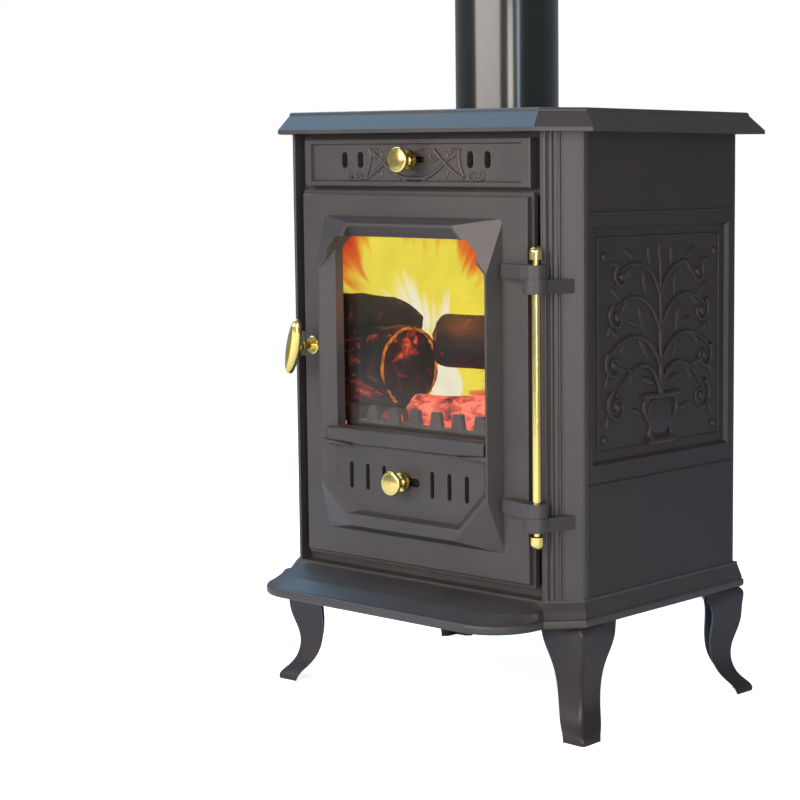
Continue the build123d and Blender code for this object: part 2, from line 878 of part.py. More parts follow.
with BuildPart() as surround:
    loft([
        upright(front_plane(door_front), octagon_points(
            surround_half, surround_bottom, surround_top, foot_cut, foot_cut, foot_cut)),
        upright(front_plane(ridge_y), octagon_points(
            ridge_half, ridge_bottom, ridge_top, ridge_top_cut, ridge_top_cut, ridge_bottom_cut)),
    ], ruled=True)
    funnel_y = ridge_y + bevel_depth
    loft([
        upright(front_plane(ridge_y), octagon_points(
            ridge_inner_half, sill_bottom, ridge_top - ridge_width,
            ridge_top_cut - inner_shift, ridge_top_cut - inner_shift, foot_cut)),
        upright(front_plane(funnel_y), octagon_points(
            glass_half, sill_bottom, glass_top, glass_corner, glass_corner, foot_cut)),
    ], ruled=True, mode=Mode.SUBTRACT)
    bead_cut = ridge_bottom_cut - bead_width * (2 - sqrt(2))
    loft([
        upright(front_plane(ridge_y), octagon_points(
            ridge_inner_half, ridge_bottom + bead_width, sill_bottom,
            bead_cut, sill_corner, bead_cut)),
        upright(front_plane(plate_y), octagon_points(
            glass_half, ridge_bottom + bead_width + ridge_width, sill_bottom,
            bead_cut, sill_corner, bead_cut)),
    ], ruled=True, mode=Mode.SUBTRACT)

with BuildPart() as door:
    door_middle = door_bottom + door_height / 2
    with BuildSketch(front_plane(door_back)):
        with Locations((0, door_middle)):
            Rectangle(2 * door_half, door_height)
    extrude(amount=door_thickness)
    chamfer(door.faces().sort_by(Axis.Y)[0].edges(), door_edge)
    with BuildSketch(front_plane(door_back + door_flange_depth)):
        with Locations((0, door_middle)):
            Rectangle(2 * (door_half + door_flange_lap), door_height + 2 * door_flange_lap)
        with Locations((0, (pocket_bottom + pocket_top) / 2)):
            Rectangle(2 * pocket_half, pocket_top - pocket_bottom, mode=Mode.SUBTRACT)
    extrude(amount=door_flange_depth)
    add(surround.part)
    with BuildSketch(Plane.YZ):
        with Locations(((door_front + front_y - sill_reach) / 2, glass_bottom - sill_height / 2)):
            RectangleRounded(sill_reach - door_face, sill_height, sill_round)
        with Locations((door_front - sill_root / 2, glass_bottom - sill_height / 2)):
            Rectangle(sill_root, sill_height)
    extrude(amount=sill_half, both=True)
    with BuildSketch(front_plane(door_back)):
        Polygon(*octagon_points(
            glass_half, glass_bottom, glass_top, glass_corner, glass_corner, sill_corner), align=None)
    extrude(amount=door_thickness + surround_height, mode=Mode.SUBTRACT)
    with BuildSketch(front_plane(door_back)):
        with Locations((0, lower_slot_z)):
            Rectangle(2 * lower_pocket_half, lower_pocket_height)
    extrude(amount=door_back - web_back, mode=Mode.SUBTRACT)
    with BuildSketch(front_plane(web_back)):
        slots(lower_slot_places, lower_slot_z, lower_slot_width, lower_slot_height)
        with Locations((0, lower_slot_z)):
            SlotOverall(2 * knob_slot_half, knob_slot_height)
    extrude(amount=lower_web, mode=Mode.SUBTRACT)
    with BuildSketch(front_plane(door_back + door_flange_depth)):
        with Locations((0, (rope_bottom + rope_top) / 2)):
            rope_ring()
    extrude(amount=rope_groove, mode=Mode.SUBTRACT)
    for lug_z in (lower_lug_z, upper_lug_z):
        door_lug_z = lug_z + lug_height + lug_gap
        with BuildSketch(Plane.XY.offset(door_lug_z)):
            with Locations((hinge_x, hinge_y)):
                Circle(door_lug_radius)
            with BuildLine():
                Polyline(
                    (lug_root_x, door_front + lug_sink), (door_half, door_front + lug_sink),
                    (hinge_x - lug_flank, hinge_y + door_lug_radius - lug_trim),
                    (hinge_x, hinge_y - door_lug_radius),
                    (hinge_x - door_lug_radius, hinge_y - door_lug_radius + lug_shoulder_drop),
                    (lug_root_x, door_front - lug_root_reach), close=True,
                )
            make_face()
        extrude(amount=lug_height)
        with BuildSketch(Plane.XY.offset(door_lug_z)):
            with Locations((hinge_x, hinge_y)):
                Circle(rod_radius + rod_fit)
        extrude(amount=lug_height, mode=Mode.SUBTRACT)
    boss_y = door_back + gasket_thickness + glass_thickness
    glass_edge_top = glass_top + glass_margin
    glass_edge_bottom = glass_bottom - glass_margin
    boss_top = (glass_edge_top + clip_gap, glass_edge_top + clip_gap + boss_height)
    boss_bottom = (glass_edge_bottom - clip_gap - boss_height, glass_edge_bottom - clip_gap)
    with BuildSketch(front_plane(boss_y)):
        for low, high in (boss_top, boss_bottom):
            with Locations((clip_x, (low + high) / 2), (-clip_x, (low + high) / 2)):
                Rectangle(clip_width, boss_height)
    extrude(amount=boss_y - door_back)
    with BuildSketch(front_plane(boss_y)):
        for low, high in (boss_top, boss_bottom):
            with Locations((clip_x, (low + high) / 2), (-clip_x, (low + high) / 2)):
                Circle(clip_screw_radius)
    extrude(amount=boss_y - door_back, mode=Mode.SUBTRACT)
    with BuildSketch(front_plane(door_back + door_flange_depth)):
        with Locations((handle_x, handle_z)):
            Circle(spindle_radius + spindle_fit)
    extrude(amount=door_thickness + door_flange_depth, mode=Mode.SUBTRACT)
keep(door.part, "door")

# Glass with its gasket, held by clips screwed to the bosses on the door's back
glass_width = 2 * (glass_half + glass_margin)
glass_height = glass_edge_top - glass_edge_bottom
glass_middle = (glass_edge_top + glass_edge_bottom) / 2
with BuildPart() as glass_gasket:
    with BuildSketch(front_plane(door_back + gasket_thickness)):
        with Locations((0, glass_middle)):
            Rectangle(glass_width, glass_height)
            Rectangle(2 * glass_half, glass_top - glass_bottom, mode=Mode.SUBTRACT)
    extrude(amount=gasket_thickness)
keep(glass_gasket.part, "glass_gasket")

with BuildPart() as door_glass:
    with BuildSketch(front_plane(boss_y)):
        with Locations((0, glass_middle)):
            Rectangle(glass_width, glass_height)
    extrude(amount=glass_thickness)
keep(door_glass.part, "door_glass")

with BuildPart() as glass_clips:
    with BuildSketch(front_plane(boss_y + clip_thickness)):
        clip_top = (glass_edge_top - clip_lap, boss_top[1])
        clip_bottom = (boss_bottom[0], glass_edge_bottom + clip_lap)
        for low, high in (clip_top, clip_bottom):
            with Locations((clip_x, (low + high) / 2), (-clip_x, (low + high) / 2)):
                Rectangle(clip_width, high - low)
    extrude(amount=clip_thickness)
    with BuildSketch(front_plane(boss_y + clip_thickness)):
        for low, high in (boss_top, boss_bottom):
            with Locations((clip_x, (low + high) / 2), (-clip_x, (low + high) / 2)):
                Circle(clip_screw_radius)
    extrude(amount=clip_thickness, mode=Mode.SUBTRACT)
keep(glass_clips.part, "glass_clips")

with BuildPart() as clip_screws:
    shank_length = boss_y + clip_thickness - door_back
    for depth, radius in ((shank_length, clip_screw_radius), (-clip_head_height, clip_head_radius)):
        with BuildSketch(front_plane(boss_y + clip_thickness)):
            for low, high in (boss_top, boss_bottom):
                with Locations((clip_x, (low + high) / 2), (-clip_x, (low + high) / 2)):
                    Circle(radius)
        extrude(amount=depth)
keep(clip_screws.part, "clip_screws")

# Rope seal in the groove of the door's flange
rope_back = frame_front - slider_gap
with BuildPart() as door_rope_seal:
    with BuildSketch(front_plane(rope_back)):
        with Locations((0, (rope_bottom + rope_top) / 2)):
            rope_ring()
    extrude(amount=rope_back - (door_back + door_flange_depth - rope_groove))
    fillet(door_rope_seal.faces().sort_by(Axis.Y)[-1].edges(), rope_round)
keep(door_rope_seal.part, "door_rope_seal")

# Lower air slider, its guides and its knob
lower_slider_front = web_back + slider_gap
lower_slider_back = lower_slider_front + slider_thickness
with BuildPart() as lower_vent_slider:
    with BuildSketch(front_plane(lower_slider_back)):
        with Locations((0, lower_slot_z)):
            Rectangle(2 * slider_x, lower_slider_height)
    extrude(amount=slider_thickness)
    with BuildSketch(front_plane(lower_slider_back)):
        slots(lower_slot_places, lower_slot_z, lower_slot_width, lower_slot_height)
    extrude(amount=slider_thickness, mode=Mode.SUBTRACT)
keep(lower_vent_slider.part, "lower_vent_slider")

guide_front = lower_slider_back + slider_gap
guide_shift = (lower_pocket_height - guide_height) / 2
with BuildPart() as lower_vent_guides:
    with BuildSketch(front_plane(door_back)):
        with Locations((0, lower_slot_z + guide_shift), (0, lower_slot_z - guide_shift)):
            Rectangle(2 * lower_pocket_half, guide_height)
    extrude(amount=door_back - guide_front)
keep(lower_vent_guides.part, "lower_vent_guides")
keep(knob(lower_knob_rest, lower_slot_z, front_y - lower_flange_reach, lower_slider_front), "lower_vent_knob")

# Door handle: an escutcheon on the door, a spindle with a ball and a domed oval blade, and the latch cam
cam_front = door_back + door_flange_depth + slider_gap
cam_back = cam_front + cam_thickness
blade_back = door_front - handle_neck
with BuildPart() as handle_escutcheon:
    with BuildSketch(front_plane(door_front)):
        with Locations((handle_x, handle_z)):
            Circle(escutcheon_radius)
            Circle(spindle_radius + spindle_fit, mode=Mode.SUBTRACT)
    extrude(amount=escutcheon_thickness)
    rim = handle_escutcheon.faces().sort_by(Axis.Y)[0].edges().sort_by(SortBy.RADIUS)[-1]
    chamfer(rim, escutcheon_thickness / 2)
keep(handle_escutcheon.part, "handle_escutcheon")

with BuildPart() as door_handle:
    with BuildSketch(front_plane(cam_back)):
        with Locations((handle_x, handle_z)):
            Circle(spindle_radius)
    extrude(amount=cam_back - blade_back)
    with Locations((handle_x, blade_back + handle_ball_radius, handle_z)):
        Sphere(handle_ball_radius)
    for share in handle_blade_levels:
        with BuildSketch(front_plane(blade_back - share * handle_blade_thickness)):
            with Locations((handle_x, handle_z)):
                dome = handle_blade_width / 2 * (1 - handle_blade_draw * share ** handle_blade_power)
                end = (handle_blade_length - handle_blade_width) / 2
                Ellipse(end + dome, dome, rotation=90 - handle_tilt)
    loft()
keep(door_handle.part, "door_handle")

with BuildPart() as latch_cam:
    with BuildSketch(front_plane(cam_back)):
        with Locations((handle_x, handle_z - cam_length / 2)):
            SlotCenterToCenter(cam_length, cam_width, rotation=90)
        with Locations((handle_x, handle_z)):
            Circle(spindle_radius, mode=Mode.SUBTRACT)
    extrude(amount=cam_thickness)
keep(latch_cam.part, "latch_cam")

# Hinge rod through the four lugs, with a turned finial at each end
rod_bottom = lower_lug_z
rod_top = upper_lug_z + 2 * lug_height + lug_gap
with BuildPart() as hinge_rod:
    with BuildSketch(Plane.XY.offset(rod_bottom)):
        with Locations((hinge_x, hinge_y)):
            Circle(rod_radius)
    extrude(amount=rod_top - rod_bottom)
keep(hinge_rod.part, "hinge_rod")


def finial(z, direction):
    """A turned finial that leaves the rod's end along the direction: a stub, a ring and a rounded knob."""
    top = finial_stub + finial_height
    with BuildPart() as turned:
        with BuildSketch(Plane.XZ):
            with BuildLine():
                shoulder = finial_stub + finial_shoulder
                Polyline(
                    (0, 0), (finial_stub_radius, 0), (finial_stub_radius, finial_stub),
                    (finial_radius, finial_stub + finial_draft), (finial_radius, shoulder),
                )
                ThreePointArc((finial_radius, shoulder), cap_middle(finial_radius, shoulder, top), (0, top))
                Line((0, top), (0, 0))
            make_face()
        revolve(axis=Axis.Z)
    turn = 0 if direction > 0 else 180
    return turned.part.moved(Location((hinge_x, hinge_y, z), (turn, 0, 0)))


keep(finial(rod_top, 1), "upper_finial")
keep(finial(rod_bottom, -1), "lower_finial")


# Floor of the firebox and shelf of the ash chamber, both cut round the corners and pierced for the tie rods
def chamber_plate(bottom, thickness, tongue):
    """A plate that fills the body's inside, with an optional tongue into the door opening."""
    x = half_width - side_thickness - fit_gap
    front = frame_back + fit_gap
    rear = rear_y - side_thickness - fit_gap
    cut = corner_cut / 2
    with BuildPart() as plate:
        with BuildSketch(Plane.XY.offset(bottom)) as outline:
            with BuildLine():
                Polyline(
                    (x, front + cut), (x, rear), (-x, rear), (-x, front + cut),
                    (-x + cut, front), (x - cut, front), close=True,
                )
            make_face()
            fillet(outline.vertices().group_by(Axis.Y)[-1], rear_round - side_thickness + plate_round_spare)
            if tongue:
                with Locations((0, (frame_front + front) / 2)):
                    Rectangle(2 * (door_opening_half - fit_gap), front - frame_front)
            with Locations(*rod_places):
                Circle(tie_rod_radius + fit_gap, mode=Mode.SUBTRACT)
        extrude(amount=thickness)
    return plate.part


keep(chamber_plate(shelf_top - shelf_thickness, shelf_thickness, False), "ash_shelf")
firebox_floor = chamber_plate(floor_top - floor_thickness, floor_thickness, True)
with BuildPart() as floor_plate:
    add(firebox_floor)
    with BuildSketch(Plane.XY.offset(floor_top)):
        Rectangle(2 * grate_half_width, 2 * grate_half_depth)
    extrude(amount=-grate_thickness, mode=Mode.SUBTRACT)
    with BuildSketch(Plane.XY.offset(floor_top)):
        Rectangle(2 * (grate_half_width - grate_rebate), 2 * (grate_half_depth - grate_rebate))
    extrude(amount=-floor_thickness, mode=Mode.SUBTRACT)
keep(floor_plate.part, "firebox_floor")

with BuildPart() as grate:
    with BuildSketch(Plane.XY.offset(floor_top)):
        Rectangle(2 * (grate_half_width - grate_gap), 2 * (grate_half_depth - grate_gap))
        with GridLocations(grate_slot_pitch, 0, grate_slot_count, 1):
            SlotOverall(
                2 * (grate_half_depth - 2 * grate_rebate), grate_slot_width, rotation=90, mode=Mode.SUBTRACT,
            )
    extrude(amount=-grate_thickness)
keep(grate.part, "grate")

with BuildPart() as ash_pan:
    with BuildSketch(Plane.XY.offset(shelf_top)):
        with Locations((0, (pan_rear - pan_front) / 2)):
            RectangleRounded(2 * pan_half_width, pan_rear + pan_front, pan_corner)
    extrude(amount=pan_height)
    offset(amount=-pan_wall, openings=ash_pan.faces().sort_by(Axis.Z)[-1])
keep(ash_pan.part, "ash_pan")

# Log fence: a toothed bar that stands on the floor's tongue
with BuildPart() as log_fence:
    with BuildSketch(front_plane(frame_back - fit_gap)):
        bar_half = tooth_pitch * (tooth_count - 1) / 2 + tooth_root / 2
        with Locations((0, (floor_top + tooth_gap) / 2)):
            Rectangle(2 * bar_half, tooth_gap - floor_top)
        for number in range(tooth_count):
            middle = tooth_pitch * (number - (tooth_count - 1) / 2)
            with BuildLine():
                Polyline(
                    (middle - tooth_root / 2, tooth_gap), (middle + tooth_root / 2, tooth_gap),
                    (middle + tooth_tip / 2, tooth_top), (middle - tooth_tip / 2, tooth_top), close=True,
                )
            make_face()
    extrude(amount=fence_thickness)
keep(log_fence.part, "log_fence")

# Fire bricks at the sides and the rear, and the baffle that lies on them
brick_rear = rear_y - side_thickness - brick
brick_x = half_width - side_thickness - brick / 2
for name, side in (("right_liner", 1), ("left_liner", -1)):
    with BuildPart() as side_liner:
        with BuildSketch(Plane.XY.offset(floor_top)):
            with Locations((side * brick_x, (brick_rear - fit_gap - brick_front) / 2)):
                Rectangle(brick, brick_rear - fit_gap + brick_front)
        extrude(amount=brick_height)
    keep(side_liner.part, name)

with BuildPart() as rear_liner:
    with BuildSketch(Plane.XY.offset(floor_top)):
        with Locations((0, brick_rear + brick / 2)):
            Rectangle(2 * (half_width - side_thickness - brick - fit_gap), brick)
    extrude(amount=brick_height)
keep(rear_liner.part, "rear_liner")

with BuildPart() as baffle_plate:
    with BuildSketch(Plane.XY.offset(floor_top + brick_height)):
        baffle_half = half_width - side_thickness - fit_gap
        baffle_rear = half_depth - rear_round - tie_rod_radius - 2 * fit_gap
        with Locations((0, (baffle_rear - baffle_front) / 2)):
            Rectangle(2 * baffle_half, baffle_rear + baffle_front)
    extrude(amount=baffle_thickness)
keep(baffle_plate.part, "baffle_plate")

# Tie rods between the base plate and the top plate
with BuildPart() as tie_rods:
    with BuildSketch(Plane.XY.offset(body_bottom - tie_rod_seat)):
        with Locations(*rod_places):
            Circle(tie_rod_radius)
    extrude(amount=body_height + 2 * tie_rod_seat)
keep(tie_rods.part, "tie_rods")


# Legs: a V of cast iron that narrows below the shoulder and kicks out to the toe, with a pad for its bolt
def leg_section(plane, level):
    """One level of a leg: a V with its ridge outwards, rounded at the ridge."""
    share, shift, spread, depth = level
    with BuildSketch(plane.offset(share * leg_height)) as section:
        with BuildLine():
            Polyline(
                (shift, 0), (shift - depth, spread), (shift - depth, spread - leg_edge_wall),
                (shift - leg_ridge_wall, 0), (shift - depth, -spread + leg_edge_wall),
                (shift - depth, -spread), close=True,
            )
        make_face()
        ridge = section.vertices().sort_by_distance((shift, 0, 0))[0]
        fillet(ridge, leg_ridge_round)
    return section.sketch.face()


for name, x, y, turn in leg_places:
    leg_plane = Plane(origin=(x, y, 0), x_dir=(cos(radians(turn)), sin(radians(turn)), 0), z_dir=(0, 0, 1))
    with BuildPart() as leg:
        loft([leg_section(leg_plane, level) for level in reversed(leg_levels)])
        pad_spread = leg_levels[0][2] - leg_wall
        pad_depth = leg_levels[0][3]
        with BuildSketch(leg_plane.offset(leg_height)):
            with BuildLine():
                Polyline((-leg_wall, 0), (-pad_depth, pad_spread), (-pad_depth, -pad_spread), close=True)
            make_face()
        extrude(amount=-leg_pad)
        with BuildSketch(leg_plane.offset(leg_height)):
            with Locations((-leg_bolt_inset, 0)):
                Circle(leg_bolt_radius)
        extrude(amount=-leg_pad, mode=Mode.SUBTRACT)
    keep(leg.part, name)

with BuildPart() as leg_bolts:
    with BuildSketch(Plane.XY.offset(leg_height - leg_pad)):
        with Locations(*bolt_places):
            Circle(leg_bolt_radius)
    extrude(amount=leg_pad + leg_bolt_seat)
    with BuildSketch(Plane.XY.offset(leg_height - leg_pad)):
        with Locations(*bolt_places):
            RegularPolygon(leg_bolt_head, 6)
    extrude(amount=-leg_bolt_head_height)
keep(leg_bolts.part, "leg_bolts")
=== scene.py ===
"""Wood cookstove: finishes, cast ornament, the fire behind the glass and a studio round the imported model."""
from math import cos, radians, sin, tau

import bpy
from mathutils import Matrix, Vector


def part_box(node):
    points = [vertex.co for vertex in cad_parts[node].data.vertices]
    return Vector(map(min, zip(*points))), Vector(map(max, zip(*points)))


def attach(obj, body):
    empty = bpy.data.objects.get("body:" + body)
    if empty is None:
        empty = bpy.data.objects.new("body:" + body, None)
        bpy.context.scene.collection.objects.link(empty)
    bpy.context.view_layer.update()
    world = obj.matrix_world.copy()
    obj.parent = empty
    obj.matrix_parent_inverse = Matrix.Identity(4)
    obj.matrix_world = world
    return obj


bl_info = {
    "name": "Wood Cookstove",
    "version": (1, 0, 0),
    "blender": (4, 5, 0),
    "location": "View3D > Sidebar > Cookstove",
    "description": "Dresses a cast-iron wood cookstove and lights its fire",
    "category": "Object",
}

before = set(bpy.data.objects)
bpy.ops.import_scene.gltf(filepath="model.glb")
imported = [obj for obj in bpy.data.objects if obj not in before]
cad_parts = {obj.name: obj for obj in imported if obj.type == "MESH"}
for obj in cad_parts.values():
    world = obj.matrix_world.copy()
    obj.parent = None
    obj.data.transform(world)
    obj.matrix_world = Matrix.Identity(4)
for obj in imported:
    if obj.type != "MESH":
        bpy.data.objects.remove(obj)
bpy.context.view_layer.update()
MM = 0.001


def linear(code):
    """An sRGB hex colour as a linear RGBA tuple."""
    values = [int(code[i:i + 2], 16) / 255 for i in (1, 3, 5)]
    return tuple(v / 12.92 if v <= 0.04045 else ((v + 0.055) / 1.055) ** 2.4 for v in values) + (1.0,)


class FinishSettings(bpy.types.PropertyGroup):
    """Colours and grain of the stove's surfaces; the side and leg colours are the front paint darkened as painted
    shade.
    """
    iron: bpy.props.FloatVectorProperty(
        name="Front iron", description="Matt stove paint on the front castings", subtype="COLOR",
        size=4, default=linear("#3c3737"), min=0, max=1)
    # Painted shade: the same stove paint as the front, darkened because the side panels face away from the light.
    side_iron_painted_shade: bpy.props.FloatVectorProperty(
        name="Side iron", description="Matt stove paint on the side panels", subtype="COLOR",
        size=4, default=linear("#2c2323"), min=0, max=1)
    # Painted shade: the same stove paint again, darker still because the legs stand in the shade under the stove.
    leg_iron_painted_shade: bpy.props.FloatVectorProperty(
        name="Leg iron", description="Matt stove paint on the legs", subtype="COLOR",
        size=4, default=linear("#292123"), min=0, max=1)
    brass: bpy.props.FloatVectorProperty(
        name="Brass", description="Polished brass of the knobs, the handle and the hinge rod", subtype="COLOR",
        size=4, default=linear("#f4d884"), min=0, max=1)
    enamel: bpy.props.FloatVectorProperty(
        name="Pipe enamel", description="Black enamel of the flue pipe", subtype="COLOR",
        size=4, default=linear("#12150f"), min=0, max=1)
    grit: bpy.props.FloatProperty(
        name="Sand grain", description="Grain size that the casting sand leaves in the iron",
        subtype="DISTANCE", unit="LENGTH", default=1.2 * MM, min=0.2 * MM, max=5 * MM)


class OrnamentSettings(bpy.types.PropertyGroup):
    """Sizes of the cast ornament on the vent panel and in the side panels."""
    relief: bpy.props.FloatProperty(
        name="Relief", description="How far the side ornament stands out of its recess",
        subtype="DISTANCE", unit="LENGTH", default=5 * MM, min=1 * MM, max=8 * MM)
    stem: bpy.props.FloatProperty(
        name="Stem radius", description="Radius of the thickest stem of the side ornament",
        subtype="DISTANCE", unit="LENGTH", default=4.2 * MM, min=1 * MM, max=4.8 * MM)
    scroll: bpy.props.FloatProperty(
        name="Scroll radius", description="Radius of the scrolls on the vent panel",
        subtype="DISTANCE", unit="LENGTH", default=2.9 * MM, min=1 * MM, max=3.4 * MM)


class FireSettings(bpy.types.PropertyGroup):
    """Colours and strength of the fire."""
    core: bpy.props.FloatVectorProperty(
        name="Core", description="Hottest part of the flames", subtype="COLOR",
        size=4, default=linear("#fffbe2"), min=0, max=1)
    flame: bpy.props.FloatVectorProperty(
        name="Flame", description="Body of the flames", subtype="COLOR",
        size=4, default=linear("#fbe94e"), min=0, max=1)
    edge: bpy.props.FloatVectorProperty(
        name="Edge", description="Cooler edge of the flames", subtype="COLOR",
        size=4, default=linear("#f08528"), min=0, max=1)
    ember: bpy.props.FloatVectorProperty(
        name="Ember", description="Glow of the embers and the back of the fire", subtype="COLOR",
        size=4, default=linear("#d9452a"), min=0, max=1)
    glow: bpy.props.FloatProperty(
        name="Glow", description="Power of the firelight inside the firebox", unit="POWER",
        default=0.3, min=0, max=50)


class StudioSettings(bpy.types.PropertyGroup):
    """Camera and lights."""
    lens: bpy.props.FloatProperty(
        name="Lens", description="Focal length of the photograph's lens on a 36 mm sensor",
        default=92.773, min=20, max=300)
    key: bpy.props.FloatProperty(
        name="Key light", description="Power of the large light in front", unit="POWER",
        default=95, min=0, max=1000)
    fill: bpy.props.FloatProperty(
        name="Fill light", description="Power of the light beside the camera", unit="POWER",
        default=14, min=0, max=1000)
    sky: bpy.props.FloatProperty(
        name="Sky light", description="Power of the blue light above", unit="POWER",
        default=70, min=0, max=1000)
    ambient: bpy.props.FloatProperty(
        name="Ambient light", description="Strength of the even light from all round",
        default=0.4, min=0, max=10)


def add_node(owner, kind, settings=None, links=None):
    """Adds one shader node to a material or the world.

    Settings are attributes, input values or a colour ramp's (place, colour) stops. Links join inputs to outputs.
    """
    node = owner.node_tree.nodes.new(kind)
    for key, value in (settings or {}).items():
        if key == "stops":
            elements = node.color_ramp.elements
            while len(elements) < len(value):
                elements.new(0.5)
            for element, (place, colour) in zip(elements, value):
                element.position = place
                element.color = colour
        elif isinstance(key, str) and hasattr(node, key):
            setattr(node, key, value)
        else:
            node.inputs[key].default_value = value
    for key, socket in (links or {}).items():
        owner.node_tree.links.new(socket, node.inputs[key])
    return node


def new_material(name):
    """An empty node material and its output node."""
    material = bpy.data.materials.new(name)
    material.use_nodes = True
    material.node_tree.nodes.clear()
    return material, material.node_tree.nodes.new("ShaderNodeOutputMaterial")


def join(material, socket, output, name="Surface"):
    """Links a shader to the material's output."""
    material.node_tree.links.new(socket, output.inputs[name])


def object_point(material, scale=(1, 1, 1)):
    """Object coordinates, stretched by scale."""
    place = add_node(material, "ShaderNodeTexCoord").outputs["Object"]
    return add_node(material, "ShaderNodeMapping", {"Scale": scale}, {"Vector": place}).outputs["Vector"]


def shade(colour, factor):
    """A colour made lighter or darker."""
    return tuple(min(1, c * factor) for c in colour[:3]) + (1.0,)


def stove_painted_iron(name, colour, grit, roughness=0.5):
    """Sand-cast grey iron under matt stove paint: a pebbled grain, soft broad gloss and faint dusty patches.

    The real grit is about 0.3 mm and is drawn coarser, so that it shows.
    """
    material, output = new_material(name)
    place = object_point(material)
    patches = add_node(
        material, "ShaderNodeTexNoise", {"Scale": 1 / (90 * MM), "Detail": 4.0, "Roughness": 0.6},
        {"Vector": place})
    grain = add_node(
        material, "ShaderNodeTexNoise", {"Scale": 1 / (grit * 1.6), "Detail": 3.0, "Roughness": 0.7},
        {"Vector": place})
    tone = add_node(
        material, "ShaderNodeValToRGB",
        {"stops": [(0.3, shade(colour, 0.86)), (0.7, shade(colour, 1.14))]},
        {"Fac": patches.outputs["Fac"]}).outputs["Color"]
    speckle = add_node(
        material, "ShaderNodeValToRGB",
        {"stops": [(0.35, (0.8, 0.8, 0.8, 1)), (0.7, (1.2, 1.2, 1.2, 1))]},
        {"Fac": grain.outputs["Fac"]}).outputs["Color"]
    mixed = add_node(
        material, "ShaderNodeMix", {"data_type": "RGBA", "blend_type": "MULTIPLY", "Factor": 0.5},
        {6: tone, 7: speckle})
    gloss = add_node(
        material, "ShaderNodeMapRange", {"To Min": roughness - 0.06, "To Max": roughness + 0.08},
        {"Value": patches.outputs["Fac"]})
    bump = add_node(
        material, "ShaderNodeBump", {"Strength": 0.22, "Distance": 0.25 * MM}, {"Height": grain.outputs["Fac"]})
    shader = add_node(
        material, "ShaderNodeBsdfPrincipled", {"Metallic": 0.0, "IOR": 1.5},
        {"Base Color": mixed.outputs[2], "Roughness": gloss.outputs["Result"], "Normal": bump.outputs["Normal"]})
    join(material, shader.outputs["BSDF"], output)
    return material


def polished_brass(name, colour):
    """Turned and buffed brass: bright and warm, with faint turning haze in the gloss."""
    material, output = new_material(name)
    haze = add_node(
        material, "ShaderNodeTexNoise", {"Scale": 1 / (6 * MM), "Detail": 2.0}, {"Vector": object_point(material)})
    gloss = add_node(
        material, "ShaderNodeMapRange", {"To Min": 0.1, "To Max": 0.24}, {"Value": haze.outputs["Fac"]})
    tone = add_node(
        material, "ShaderNodeValToRGB",
        {"stops": [(0.3, shade(colour, 0.94)), (0.7, colour)]},
        {"Fac": haze.outputs["Fac"]}).outputs["Color"]
    shader = add_node(
        material, "ShaderNodeBsdfPrincipled", {"Metallic": 1.0},
        {"Base Color": tone, "Roughness": gloss.outputs["Result"]})
    join(material, shader.outputs["BSDF"], output)
    return material


def enamelled_steel(name, colour):
    """Rolled steel pipe under black vitreous enamel: smooth and glossy, with a slight orange-peel ripple."""
    material, output = new_material(name)
    ripple = add_node(
        material, "ShaderNodeTexNoise", {"Scale": 1 / (7 * MM), "Detail": 1.0}, {"Vector": object_point(material)})
    bump = add_node(
        material, "ShaderNodeBump", {"Strength": 0.05, "Distance": 0.3 * MM}, {"Height": ripple.outputs["Fac"]})
    tone = add_node(
        material, "ShaderNodeValToRGB",
        {"stops": [(0.3, shade(colour, 0.9)), (0.7, shade(colour, 1.1))]},
        {"Fac": ripple.outputs["Fac"]}).outputs["Color"]
    shader = add_node(
        material, "ShaderNodeBsdfPrincipled",
        {"Roughness": 0.22, "IOR": 1.5, "Coat Weight": 0.6, "Coat Roughness": 0.08},
        {"Base Color": tone, "Normal": bump.outputs["Normal"]})
    join(material, shader.outputs["BSDF"], output)
    return material


def blackened_steel(name):
    """Bar and sheet steel with a dark oxide skin: dull metal with faint streaks."""
    material, output = new_material(name)
    streaks = add_node(
        material, "ShaderNodeTexNoise", {"Scale": 1 / (4 * MM), "Detail": 3.0},
        {"Vector": object_point(material, (1, 1, 0.2))})
    tone = add_node(
        material, "ShaderNodeValToRGB",
        {"stops": [(0.3, linear("#2a2928")), (0.7, linear("#4a4846"))]},
        {"Fac": streaks.outputs["Fac"]}).outputs["Color"]
    shader = add_node(
        material, "ShaderNodeBsdfPrincipled", {"Metallic": 0.8, "Roughness": 0.45}, {"Base Color": tone})
    join(material, shader.outputs["BSDF"], output)
    return material


def fired_brick(name):
    """Pressed fire brick: buff clay with grog specks, blackened by soot in patches."""
    material, output = new_material(name)
    place = object_point(material)
    grog = add_node(
        material, "ShaderNodeTexNoise", {"Scale": 1 / (3 * MM), "Detail": 5.0, "Roughness": 0.7},
        {"Vector": place})
    soot = add_node(
        material, "ShaderNodeTexNoise", {"Scale": 1 / (80 * MM), "Detail": 3.0}, {"Vector": place})
    clay = add_node(
        material, "ShaderNodeValToRGB",
        {"stops": [(0.35, linear("#6d5543")), (0.7, linear("#a58a6c"))]},
        {"Fac": grog.outputs["Fac"]}).outputs["Color"]
    black = add_node(
        material, "ShaderNodeValToRGB",
        {"stops": [(0.4, (1, 1, 1, 1)), (0.65, (0.25, 0.23, 0.22, 1))]},
        {"Fac": soot.outputs["Fac"]}).outputs["Color"]
    mixed = add_node(
        material, "ShaderNodeMix", {"data_type": "RGBA", "blend_type": "MULTIPLY", "Factor": 1.0},
        {6: clay, 7: black})
    bump = add_node(
        material, "ShaderNodeBump", {"Strength": 0.4, "Distance": 0.4 * MM}, {"Height": grog.outputs["Fac"]})
    shader = add_node(
        material, "ShaderNodeBsdfPrincipled", {"Roughness": 0.92},
        {"Base Color": mixed.outputs[2], "Normal": bump.outputs["Normal"]})
    join(material, shader.outputs["BSDF"], output)
    return material


